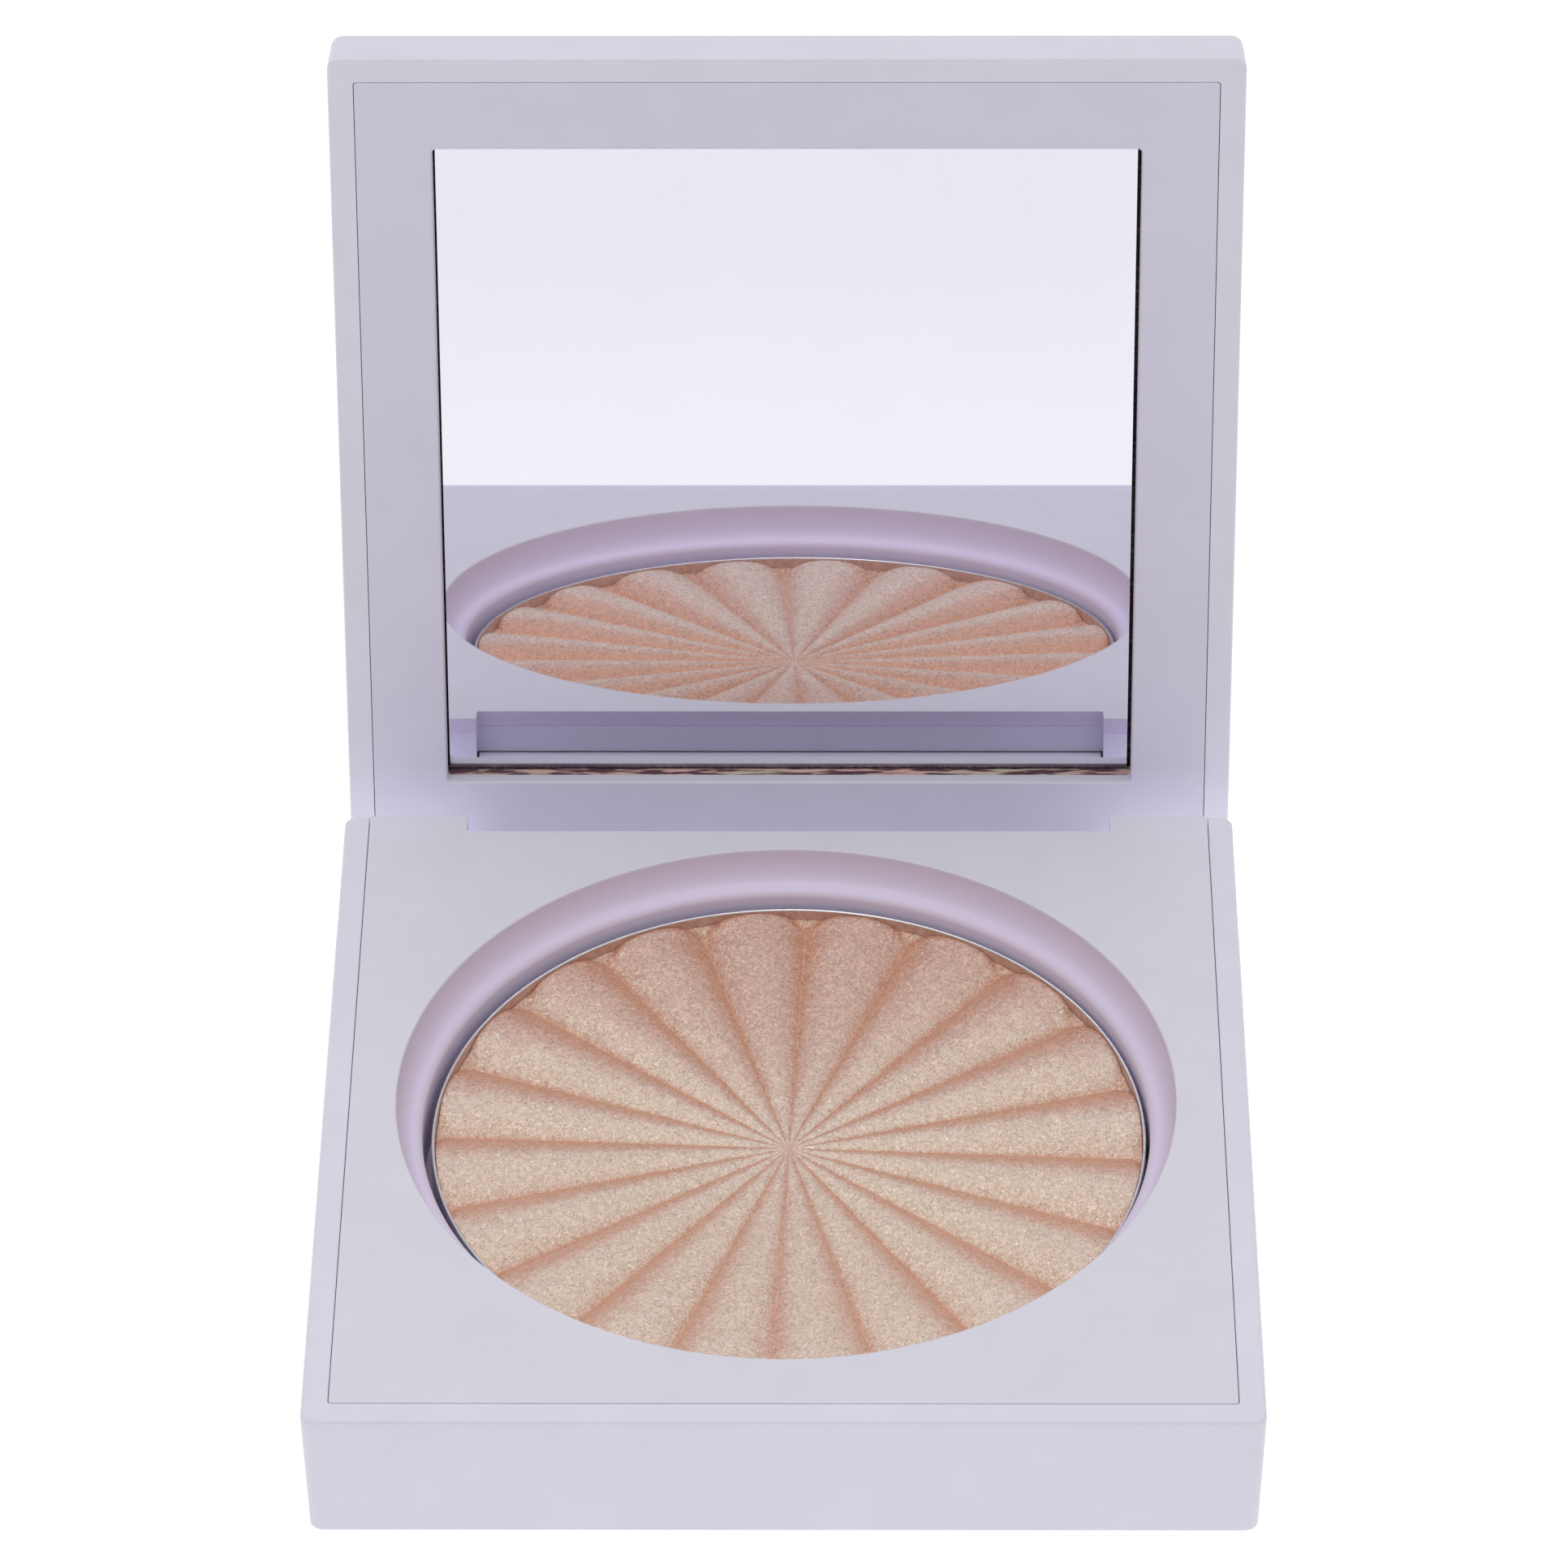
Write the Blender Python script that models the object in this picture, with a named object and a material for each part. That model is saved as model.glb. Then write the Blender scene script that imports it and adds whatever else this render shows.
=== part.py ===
"""Square powder compact with a mirrored lid, modelled open at its stop.

Metres, +Z up.  The origin is the centre of the base's flat underside, X runs to
the right, Y to the back, and the lid hinges about an axis along X at the back.
The lid's pieces are drawn shut, around the hinge axis, and hang from an empty on
that axis, which is turned back by the opening angle.
"""
import math

import bmesh
import bpy
from mathutils import Matrix

MM = 0.001

# Case
WIDTH = 76.0 * MM
DEPTH = 76.0 * MM
BASE_HEIGHT = 12.25 * MM
LID_THICKNESS = 5.38 * MM
WALL = 2.1 * MM
PLATE = 1.34 * MM            # deck plate and mirror frame
SEAM = 0.15 * MM             # slit around the deck plate and the mirror frame
STACK_GAP = 0.2 * MM         # between layers that lie on each other
CORNER_RADIUS = 1.0 * MM     # upright corners of the case
EDGE_ROUND = 0.4 * MM        # edges of the top and the underside
BASE_DRAFT = 0.33 * MM       # how much the underside is smaller, on each side
LID_DRAFT = 0.1 * MM
FLOOR = 1.5 * MM             # floor of the base shell
LID_FLOOR_DEPTH = 3.4 * MM   # from the lid's inner face to the floor of its shell
FRONT = -DEPTH / 2
BACK = DEPTH / 2

# Hinge
AXIS_INSET = 1.64 * MM       # from the back of the case forward to the axis
AXIS_TO_LID = 6.98 * MM      # from the axis up to the inner face of the shut lid
SHUT_GAP = 0.25 * MM         # between the deck and the shut lid
OPENING_DEGREES = 100.4
AXIS_Y = BACK - AXIS_INSET
AXIS_Z = BASE_HEIGHT + SHUT_GAP - AXIS_TO_LID
TONGUE_WIDTH = 54.6 * MM
TONGUE_THICKNESS = 1.85 * MM
BARREL_RADIUS = 3.0 * MM
NOTCH_WIDTH = 55.0 * MM
NOTCH_DEPTH = 2.12 * MM
POCKET_RADIUS = 3.27 * MM
POCKET_FLOOR = AXIS_Z - 2.2 * MM
PIN_RADIUS = 0.6 * MM
PIN_BORE_RADIUS = 0.85 * MM
PIN_LENGTH = 12.0 * MM
PIN_MIDDLE = 27.4 * MM       # half way along each pin, out from the middle

# Well, pan and powder
WELL_Y = FRONT + 39.4 * MM
WELL_RADIUS = 32.03 * MM     # at the top of the deck
WELL_LIP_RADIUS = 30.0 * MM
WELL_LIP_DEPTH = 3.0 * MM
CUP_WALL = 0.7 * MM
CUP_BOTTOM = FLOOR + 0.5 * MM
CUP_FLOOR = CUP_BOTTOM + 1.0 * MM
PUSH_HOLE_RADIUS = 4.0 * MM
ADHESIVE = 0.4 * MM
PAN_SHIFT_X = 0.2 * MM       # the pan sits a little to the right in its well
PAN_RADIUS = 29.5 * MM
PAN_WALL = 0.35 * MM
PAN_BOTTOM = CUP_FLOOR + ADHESIVE + 2 * STACK_GAP
PAN_RIM = BASE_HEIGHT - 4.4 * MM
POWDER_RADIUS = PAN_RADIUS - PAN_WALL - STACK_GAP
POWDER_VALLEY = BASE_HEIGHT - 5.9 * MM
PETAL_RISE = 1.35 * MM       # height of a petal's ridge near the rim
PETAL_FULL_RADIUS = 25.0 * MM    # where the ridges reach that height
PETAL_END_LENGTH = 1.0 * MM      # over which a petal's outer end rounds down
PETAL_END_PAST = 0.55 * MM       # how far past the cake's edge that rounding would end
PETAL_SCALLOP = 1.75 * MM        # how much earlier it ends beside a valley
RIM_BANK = 0.5 * MM              # how far the valleys climb at the rim
RIM_BANK_LENGTH = 2.0 * MM
PETALS = 20
PETAL_TURN = math.radians(-2.7)

# Mirror
OPENING_HALF_WIDTH = 29.5 * MM
OPENING_FRONT = 8.2 * MM     # margins in from the lid's front and back edges
OPENING_BACK = 8.3 * MM
MIRROR_GAPS = (0.12 * MM, 0.27 * MM, 0.15 * MM, 0.15 * MM)   # left, right, front, back
MIRROR_DEPTH = 2.22 * MM     # from the lid's inner face to the mirror's front
MIRROR_THICKNESS = 0.7 * MM
MIRROR_ADHESIVE = 0.25 * MM

# Closing magnets
MAGNET_RADIUS = 2.5 * MM
MAGNET_X = 32.0 * MM
MAGNET_Y = FRONT + 5.4 * MM
BASE_MAGNET_HEIGHT = 2.0 * MM
LID_MAGNET_HEIGHT = 1.6 * MM
MAGNET_SEAT_RADIUS = 3.3 * MM

ROUND_STEPS = 96             # sides of the large round pieces
SMALL_STEPS = 20             # sides of pins, bores and magnets
CUT_PAST = 2.0 * MM          # how far a cutter runs past the face it opens


def clear_scene():
    for item in list(bpy.data.objects):
        bpy.data.objects.remove(item, do_unlink=True)


def material(name, colour, roughness, metallic=0.0):
    made = bpy.data.materials.new(name)
    made.use_nodes = True
    shader = made.node_tree.nodes["Principled BSDF"]
    shader.inputs["Base Color"].default_value = (*colour, 1.0)
    shader.inputs["Roughness"].default_value = roughness
    shader.inputs["Metallic"].default_value = metallic
    made.diffuse_color = (*colour, 1.0)
    return made


def add_object(name, mesh_data, finish=None):
    mesh = bpy.data.meshes.new(name)
    mesh_data.to_mesh(mesh)
    mesh_data.free()
    made = bpy.data.objects.new(name, mesh)
    bpy.context.scene.collection.objects.link(made)
    if finish:
        mesh.materials.append(finish)
    return made


def rounded_outline(left, right, front, back, radius, steps=4):
    """Points of a rounded rectangle, anticlockwise from its right front corner."""
    corners = (
        (right - radius, front + radius, -90),
        (right - radius, back - radius, 0),
        (left + radius, back - radius, 90),
        (left + radius, front + radius, 180),
    )
    points = []
    for x, y, start in corners:
        for step in range(steps + 1):
            angle = math.radians(start + 90 * step / steps)
            points.append((x + radius * math.cos(angle), y + radius * math.sin(angle)))
    return points


def loft(outlines):
    """Skin a stack of closed outlines of (points, z), and cap both ends."""
    body = bmesh.new()
    rings = [[body.verts.new((x, y, z)) for x, y in points] for points, z in outlines]
    count = len(rings[0])
    for low, high in zip(rings, rings[1:]):
        for i in range(count):
            j = (i + 1) % count
            body.faces.new((low[i], low[j], high[j], high[i]))
    body.faces.new(list(reversed(rings[0])))
    body.faces.new(rings[-1])
    return body


def case_block(low, high, low_draft, high_draft, low_round, high_round, centre_y=0.0):
    """A square block with rounded corners, rounded ends and drafted sides."""
    outlines = []
    round_steps = 4

    def ring(inset, z):
        points = rounded_outline(
            -WIDTH / 2 + inset, WIDTH / 2 - inset,
            centre_y - DEPTH / 2 + inset, centre_y + DEPTH / 2 - inset,
            CORNER_RADIUS)
        outlines.append((points, z))

    for step in range(round_steps + 1):
        turn = math.radians(90 * step / round_steps)
        ring(low_draft + low_round * (1 - math.sin(turn)), low + low_round * (1 - math.cos(turn)))
    for step in range(round_steps + 1):
        turn = math.radians(90 * step / round_steps)
        ring(high_draft + high_round * (1 - math.cos(turn)), high - high_round * (1 - math.sin(turn)))
    return loft(outlines)


def plate_block(left, right, front, back, low, high, radius=0.3 * MM):
    points = rounded_outline(left, right, front, back, radius, steps=2)
    return loft([(points, low), (points, high)])


def box_block(left, right, front, back, low, high):
    points = [(right, front), (right, back), (left, back), (left, front)]
    return loft([(points, low), (points, high)])


def turned(profile, steps, centre=(0.0, 0.0)):
    """Turn a closed or axis-to-axis profile of (radius, z), which runs upwards outside."""
    body = bmesh.new()
    rings = []
    for radius, z in profile:
        if radius <= 0:
            rings.append([body.verts.new((centre[0], centre[1], z))])
            continue
        ring = []
        for step in range(steps):
            angle = math.tau * step / steps
            ring.append(body.verts.new((
                centre[0] + radius * math.cos(angle), centre[1] + radius * math.sin(angle), z)))
        rings.append(ring)
    pairs = list(zip(rings, rings[1:]))
    if profile[0][0] > 0:
        pairs.append((rings[-1], rings[0]))
    for low, high in pairs:
        for i in range(steps):
            j = (i + 1) % steps
            corners = [low[i % len(low)], low[j % len(low)], high[j % len(high)], high[i % len(high)]]
            body.faces.new(list(dict.fromkeys(corners)))
    return body


def disc_block(x, y, radius, low, high, steps=SMALL_STEPS):
    return turned([(0, low), (radius, low), (radius, high), (0, high)], steps, (x, y))


def bar_along_x(points, half_width):
    """Extrude a profile of (y, z), anticlockwise seen from +X, both ways along X."""
    body = bmesh.new()
    left = [body.verts.new((-half_width, y, z)) for y, z in points]
    right = [body.verts.new((half_width, y, z)) for y, z in points]
    count = len(points)
    for i in range(count):
        j = (i + 1) % count
        body.faces.new((left[i], left[j], right[j], right[i]))
    body.faces.new(list(reversed(left)))
    body.faces.new(right)
    bmesh.ops.recalc_face_normals(body, faces=body.faces)
    return body


def rod_along_x(left, right, y, z, radius):
    body = disc_block(0, 0, radius, left, right)
    turn = Matrix.Rotation(math.radians(90), 4, "Y")
    bmesh.ops.transform(body, matrix=Matrix.Translation((0, y, z)) @ turn, verts=body.verts)
    return body


def combine(target, operation, name, cutter_data):
    """Cut the target with a hidden body, or join the body to it."""
    cutter = add_object(name, cutter_data)
    cutter.hide_render = True
    cutter.display_type = "WIRE"
    cutter.parent = target.parent
    step = target.modifiers.new(name, "BOOLEAN")
    step.operation = operation
    step.object = cutter
    step.solver = "EXACT"


def smooth(item, degrees=30):
    item.data.shade_smooth()
    item.data.set_sharp_from_angle(angle=math.radians(degrees))


def arc(centre_y, centre_z, radius, start, end, steps):
    points = []
    for step in range(steps + 1):
        angle = math.radians(start + (end - start) * step / steps)
        points.append((centre_y + radius * math.cos(angle), centre_z + radius * math.sin(angle)))
    return points


# Base

def make_base_shell(finish):
    shell = add_object("base_shell", case_block(
        0.0, BASE_HEIGHT, BASE_DRAFT, 0.0, EDGE_ROUND, EDGE_ROUND), finish)
    inner = WIDTH / 2 - WALL
    plate_seat = BASE_HEIGHT - PLATE - SEAM
    rear_block = AXIS_Y - POCKET_RADIUS - 0.75 * MM
    combine(shell, "DIFFERENCE", "cut_base_cavity", box_block(
        -inner, inner, FRONT + WALL, rear_block, FLOOR, plate_seat + CUT_PAST))
    combine(shell, "DIFFERENCE", "cut_deck_seat", box_block(
        -inner, inner, FRONT + WALL, BACK + CUT_PAST, plate_seat, BASE_HEIGHT + CUT_PAST))
    combine(shell, "DIFFERENCE", "cut_cup_space", cup_outside(STACK_GAP))
    combine(shell, "DIFFERENCE", "cut_hinge_pocket", hinge_pocket())
    for side in (-1, 1):
        near, far = sorted((side * (NOTCH_WIDTH / 2 - 1.0 * MM),
                            side * (PIN_MIDDLE + PIN_LENGTH / 2 + 0.4 * MM)))
        label = "left" if side < 0 else "right"
        combine(shell, "DIFFERENCE", f"cut_pin_bore_{label}", rod_along_x(
            near, far, AXIS_Y, AXIS_Z, PIN_BORE_RADIUS))
        combine(shell, "UNION", f"join_magnet_seat_{label}", magnet_seat(side))
    smooth(shell)
    return shell


def hinge_pocket():
    """The pocket for the barrel and, behind it, the opening for the tongue."""
    front_y = BACK - NOTCH_DEPTH
    roof_turn = math.degrees(math.acos((front_y - AXIS_Y) / POCKET_RADIUS))
    floor_turn = 180 + math.degrees(math.asin((AXIS_Z - POCKET_FLOOR) / POCKET_RADIUS))
    points = [
        (BACK + CUT_PAST, POCKET_FLOOR),
        (BACK + CUT_PAST, BASE_HEIGHT + CUT_PAST),
        (front_y, BASE_HEIGHT + CUT_PAST),
    ]
    points += arc(AXIS_Y, AXIS_Z, POCKET_RADIUS, roof_turn, floor_turn, 12)
    return bar_along_x(points, NOTCH_WIDTH / 2)


def magnet_seat(side):
    """A post on the floor with a shallow cup on top, open upwards."""
    top = BASE_HEIGHT - PLATE - SEAM - STACK_GAP
    bed = BASE_HEIGHT - PLATE - 2 * STACK_GAP - BASE_MAGNET_HEIGHT - STACK_GAP
    cup = MAGNET_RADIUS + STACK_GAP
    buried = FLOOR - 0.5 * MM
    return turned([
        (0, buried), (MAGNET_SEAT_RADIUS, buried), (MAGNET_SEAT_RADIUS, top),
        (cup, top), (cup, bed), (0, bed),
    ], SMALL_STEPS, (side * MAGNET_X, MAGNET_Y))


def make_base_insert(finish):
    half = WIDTH / 2 - WALL - SEAM
    insert = add_object("base_insert", plate_block(
        -half, half, FRONT + WALL + SEAM, BACK, BASE_HEIGHT - PLATE, BASE_HEIGHT), finish)
    combine(insert, "DIFFERENCE", "cut_notch", box_block(
        -NOTCH_WIDTH / 2, NOTCH_WIDTH / 2, BACK - NOTCH_DEPTH, BACK + CUT_PAST,
        BASE_HEIGHT - PLATE - CUT_PAST, BASE_HEIGHT + CUT_PAST))
    combine(insert, "UNION", "join_cup", cup_outside(0.0))
    combine(insert, "DIFFERENCE", "cut_well", well_inside())
    combine(insert, "DIFFERENCE", "cut_push_hole", disc_block(
        0, WELL_Y, PUSH_HOLE_RADIUS, CUP_BOTTOM - CUT_PAST, CUP_FLOOR + CUT_PAST, 32))
    smooth(insert)
    return insert


def cup_outside(room):
    """The cup's outer form, or with some room around it, the space it needs."""
    outer = WELL_LIP_RADIUS + CUP_WALL + room
    shoulder = BASE_HEIGHT - WELL_LIP_DEPTH - CUP_WALL - room
    flare = WELL_RADIUS + CUP_WALL + room
    buried = BASE_HEIGHT - PLATE / 2
    bottom = CUP_BOTTOM - room
    return turned([
        (0, bottom), (outer, bottom), (outer, shoulder),
        (flare, BASE_HEIGHT - PLATE - 0.6 * MM), (flare, buried), (0, buried),
    ], ROUND_STEPS, (0, WELL_Y))


def well_inside():
    """The space of the well: straight sides, then a cove that opens up to the deck."""
    edge = 0.15 * MM
    cove_steps = 8
    profile = [(0, CUP_FLOOR), (WELL_LIP_RADIUS, CUP_FLOOR)]
    lip = BASE_HEIGHT - WELL_LIP_DEPTH
    profile.append((WELL_LIP_RADIUS, lip))
    for step in range(1, cove_steps + 1):
        turn = math.radians(90 * (1 - step / cove_steps))
        profile.append((
            WELL_LIP_RADIUS + (WELL_RADIUS - WELL_LIP_RADIUS) * math.cos(turn),
            BASE_HEIGHT - edge - (WELL_LIP_DEPTH - edge) * math.sin(turn)))
    profile.append((WELL_RADIUS + edge, BASE_HEIGHT))
    profile.append((WELL_RADIUS + edge, BASE_HEIGHT + CUT_PAST))
    profile.append((0, BASE_HEIGHT + CUT_PAST))
    return turned(profile, ROUND_STEPS, (0, WELL_Y))


def make_pan(finish):
    inner = PAN_RADIUS - PAN_WALL
    floor = PAN_BOTTOM + PAN_WALL
    pan = add_object("powder_pan", turned([
        (0, PAN_BOTTOM), (PAN_RADIUS - 0.5 * MM, PAN_BOTTOM),
        (PAN_RADIUS, PAN_BOTTOM + 0.5 * MM), (PAN_RADIUS, PAN_RIM),
        (inner, PAN_RIM), (inner, floor), (0, floor),
    ], ROUND_STEPS, (PAN_SHIFT_X, WELL_Y)), finish)
    smooth(pan)
    return pan


def petal_height(radius, angle):
    """Height of the pressed sunburst: pillows between valleys, with scalloped outer ends."""
    across = ((angle - PETAL_TURN) / math.tau * PETALS) % 1.0
    from_ridge = abs(2 * across - 1)
    end = POWDER_RADIUS + PETAL_END_PAST - PETAL_SCALLOP * from_ridge ** 3
    inward = max(0.0, min(1.0, (end - radius) / PETAL_END_LENGTH))
    crown = (1 - from_ridge ** 2) ** 0.8 * math.sqrt(1 - (1 - inward) ** 2)
    climb = max(0.0, (radius - POWDER_RADIUS + RIM_BANK_LENGTH) / RIM_BANK_LENGTH)
    bank = RIM_BANK * climb ** 2
    return bank + (PETAL_RISE - bank) * min(1.0, radius / PETAL_FULL_RADIUS) * crown


def make_powder(finish):
    body = bmesh.new()
    around = PETALS * 8
    low = PAN_BOTTOM + PAN_WALL + STACK_GAP
    reaches = (0.06, 0.25, 0.5, 0.75, 0.9, 0.94, 0.97, 1.0)
    rings = []
    for reach in reaches:
        radius = reach * POWDER_RADIUS
        ring = []
        for step in range(around):
            angle = PETAL_TURN + math.tau * step / around
            rise = petal_height(radius, angle)
            ring.append(body.verts.new((
                PAN_SHIFT_X + radius * math.cos(angle), WELL_Y + radius * math.sin(angle),
                POWDER_VALLEY + rise)))
        rings.append(ring)
    foot = [body.verts.new((v.co.x, v.co.y, low)) for v in rings[-1]]
    top = body.verts.new((PAN_SHIFT_X, WELL_Y, POWDER_VALLEY))
    base = body.verts.new((PAN_SHIFT_X, WELL_Y, low))
    for i in range(around):
        j = (i + 1) % around
        body.faces.new((top, rings[0][i], rings[0][j]))
        for inside, outside in zip(rings, rings[1:]):
            body.faces.new((inside[i], outside[i], outside[j], inside[j]))
        body.faces.new((rings[-1][i], foot[i], foot[j], rings[-1][j]))
        body.faces.new((base, foot[j], foot[i]))
    powder = add_object("pressed_powder", body, finish)
    smooth(powder, 50)
    return powder


def make_pan_adhesive(finish):
    low = CUP_FLOOR + STACK_GAP
    outer = 24.0 * MM
    inner = 8.0 * MM
    return add_object("pan_adhesive", turned([
        (outer, low), (outer, low + ADHESIVE), (inner, low + ADHESIVE), (inner, low),
    ], 64, (PAN_SHIFT_X, WELL_Y)), finish)


def make_base_magnet(label, side, finish):
    high = BASE_HEIGHT - PLATE - 2 * STACK_GAP
    return add_object(f"base_magnet_{label}", disc_block(
        side * MAGNET_X, MAGNET_Y, MAGNET_RADIUS, high - BASE_MAGNET_HEIGHT, high), finish)


def make_hinge_pin(label, side, finish):
    middle = side * PIN_MIDDLE
    pin = add_object(f"hinge_pin_{label}", rod_along_x(
        middle - PIN_LENGTH / 2, middle + PIN_LENGTH / 2, AXIS_Y, AXIS_Z, PIN_RADIUS), finish)
    smooth(pin)
    return pin


# Lid, drawn shut around the hinge axis

LID_FRONT = FRONT - AXIS_Y
LID_BACK = BACK - AXIS_Y
LID_INNER = AXIS_TO_LID
LID_OUTER = AXIS_TO_LID + LID_THICKNESS
LID_FLOOR = LID_INNER + LID_FLOOR_DEPTH


def make_lid_hinge():
    hinge = bpy.data.objects.new("lid_hinge", None)
    bpy.context.scene.collection.objects.link(hinge)
    hinge.location = (0, AXIS_Y, AXIS_Z)
    hinge.rotation_euler = (-math.radians(OPENING_DEGREES), 0, 0)
    return hinge


def make_lid_shell(hinge, finish):
    shell = add_object("lid_shell", case_block(
        LID_INNER, LID_OUTER, 0.0, LID_DRAFT, 0.15 * MM, EDGE_ROUND,
        centre_y=(LID_FRONT + LID_BACK) / 2), finish)
    shell.parent = hinge
    half = WIDTH / 2 - WALL
    combine(shell, "DIFFERENCE", "cut_lid_cavity", box_block(
        -half, half, LID_FRONT + WALL, LID_BACK - WALL, LID_INNER - CUT_PAST, LID_FLOOR))
    combine(shell, "UNION", "join_tongue", hinge_tongue())
    for side in (-1, 1):
        near, far = sorted((side * (PIN_MIDDLE - PIN_LENGTH / 2 - 0.4 * MM),
                            side * (TONGUE_WIDTH / 2 + 1.0 * MM)))
        label = "left" if side < 0 else "right"
        combine(shell, "DIFFERENCE", f"cut_tongue_bore_{label}", rod_along_x(
            near, far, 0, 0, PIN_BORE_RADIUS))
    smooth(shell)
    return shell


def hinge_tongue():
    """The lid's rear wall, carried down to the axis and rolled into a barrel."""
    back = LID_BACK - 0.02 * MM
    front = LID_BACK - TONGUE_THICKNESS
    root = LID_INNER + 1.0 * MM
    barrel_start = math.degrees(math.acos(front / BARREL_RADIUS))
    points = [(back, root), (front, root)]
    points += arc(0, 0, BARREL_RADIUS, barrel_start, 205, 12)
    points += arc(0, 0, back, 262, 360, 8)
    return bar_along_x(points, TONGUE_WIDTH / 2)


def make_lid_frame(hinge, finish):
    half = WIDTH / 2 - WALL - SEAM
    frame = add_object("lid_frame", plate_block(
        -half, half, LID_FRONT + WALL + SEAM, LID_BACK - WALL - SEAM,
        LID_INNER, LID_INNER + PLATE), finish)
    frame.parent = hinge
    combine(frame, "DIFFERENCE", "cut_mirror_opening", plate_block(
        -OPENING_HALF_WIDTH, OPENING_HALF_WIDTH,
        LID_FRONT + OPENING_FRONT, LID_BACK - OPENING_BACK,
        LID_INNER - CUT_PAST, LID_INNER + PLATE + CUT_PAST, 0.4 * MM))
    smooth(frame)
    return frame


def make_mirror_glass(hinge, finish):
    left, right, front, back = MIRROR_GAPS
    low = LID_INNER + MIRROR_DEPTH
    glass = add_object("mirror_glass", plate_block(
        -OPENING_HALF_WIDTH + left, OPENING_HALF_WIDTH - right,
        LID_FRONT + OPENING_FRONT + front, LID_BACK - OPENING_BACK - back,
        low, low + MIRROR_THICKNESS, 0.2 * MM), finish)
    glass.parent = hinge
    return glass


def make_mirror_adhesive(hinge, finish):
    low = LID_INNER + MIRROR_DEPTH + MIRROR_THICKNESS + 0.1 * MM
    beyond = 0.3 * MM
    pad = add_object("mirror_adhesive", plate_block(
        -OPENING_HALF_WIDTH - beyond, OPENING_HALF_WIDTH + beyond,
        LID_FRONT + OPENING_FRONT - beyond, LID_BACK - OPENING_BACK + beyond,
        low, low + MIRROR_ADHESIVE), finish)
    pad.parent = hinge
    return pad


def make_lid_magnet(hinge, label, side, finish):
    low = LID_INNER + PLATE + STACK_GAP
    magnet = add_object(f"lid_magnet_{label}", disc_block(
        side * MAGNET_X, MAGNET_Y - AXIS_Y, MAGNET_RADIUS, low, low + LID_MAGNET_HEIGHT), finish)
    magnet.parent = hinge
    return magnet


def main():
    clear_scene()
    case_plastic = material("lavender_case_plastic", (0.62, 0.60, 0.76), 0.42)
    deck_plastic = material("lavender_deck_plastic", (0.64, 0.62, 0.74), 0.5)
    powder = material("shimmer_powder", (0.82, 0.56, 0.43), 0.5, 0.2)
    tin = material("pan_tin", (0.78, 0.78, 0.8), 0.25, 1.0)
    steel = material("pin_steel", (0.6, 0.6, 0.62), 0.3, 1.0)
    magnet = material("magnet_nickel", (0.55, 0.55, 0.56), 0.25, 1.0)
    mirror = material("silvered_glass", (0.92, 0.92, 0.94), 0.03, 1.0)
    glue = material("glue_film", (0.16, 0.08, 0.1), 0.6)

    make_base_shell(case_plastic)
    make_base_insert(deck_plastic)
    make_pan(tin)
    make_powder(powder)
    make_pan_adhesive(glue)
    hinge = make_lid_hinge()
    make_lid_shell(hinge, case_plastic)
    make_lid_frame(hinge, deck_plastic)
    make_mirror_glass(hinge, mirror)
    make_mirror_adhesive(hinge, glue)
    for label, side in (("left", -1), ("right", 1)):
        make_base_magnet(label, side, magnet)
        make_hinge_pin(label, side, steel)
        make_lid_magnet(hinge, label, side, magnet)


main()
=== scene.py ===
"""Looks of an open powder compact with a mirrored lid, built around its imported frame.

Metres, +Z up.  The origin is the centre of the base's flat underside, X runs to the
right and Y to the back.  The lid's pieces are shaped shut, around the hinge axis, and
their meshes are then turned open about it.
"""
import logging
import math
import random
from dataclasses import dataclass, field
from enum import Enum
from typing import Iterable, Sequence

import bmesh
import bpy
from mathutils import Matrix, Vector, noise


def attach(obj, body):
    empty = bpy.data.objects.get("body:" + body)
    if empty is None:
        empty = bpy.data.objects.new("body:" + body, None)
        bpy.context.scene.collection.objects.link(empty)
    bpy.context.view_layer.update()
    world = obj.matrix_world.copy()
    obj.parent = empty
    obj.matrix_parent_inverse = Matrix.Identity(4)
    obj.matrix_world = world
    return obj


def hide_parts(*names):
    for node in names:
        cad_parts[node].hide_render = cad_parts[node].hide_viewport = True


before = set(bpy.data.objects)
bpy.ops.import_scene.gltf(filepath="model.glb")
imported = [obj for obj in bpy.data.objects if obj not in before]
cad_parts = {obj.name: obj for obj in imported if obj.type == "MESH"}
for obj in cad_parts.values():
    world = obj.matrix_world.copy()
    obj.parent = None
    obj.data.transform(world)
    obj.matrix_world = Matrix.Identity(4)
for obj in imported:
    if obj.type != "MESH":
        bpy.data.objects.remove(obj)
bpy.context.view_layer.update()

MM = 0.001
CRISP = 0.01 * MM
HIDDEN_ROUND = 0.02 * MM
Colour = tuple[float, float, float]
Outline = list[tuple[float, float]]
Socket = bpy.types.NodeSocket

log = logging.getLogger("compact")


class Body(Enum):
    """The two bodies of the compact."""

    BASE = "base"
    LID = "lid"


class Cut(Enum):
    """What a helper body does to the piece it meets."""

    AWAY = "DIFFERENCE"
    ONTO = "UNION"


# ---------------------------------------------------------------- shaping


def rounded_outline(left: float, right: float, front: float, back: float, radius: float,
                    steps: int = 8) -> Outline:
    """Trace a rectangle with rounded corners.

    Args:
        left: Lowest X.
        right: Highest X.
        front: Lowest Y.
        back: Highest Y.
        radius: Radius of the corners.
        steps: Straight runs in each corner.

    Returns:
        Points anticlockwise from the right front corner.
    """
    corners = (
        (right - radius, front + radius, -90),
        (right - radius, back - radius, 0),
        (left + radius, back - radius, 90),
        (left + radius, front + radius, 180),
    )
    points = []
    for x, y, start in corners:
        for step in range(steps + 1):
            angle = math.radians(start + 90 * step / steps)
            points.append((x + radius * math.cos(angle), y + radius * math.sin(angle)))
    return points


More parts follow.
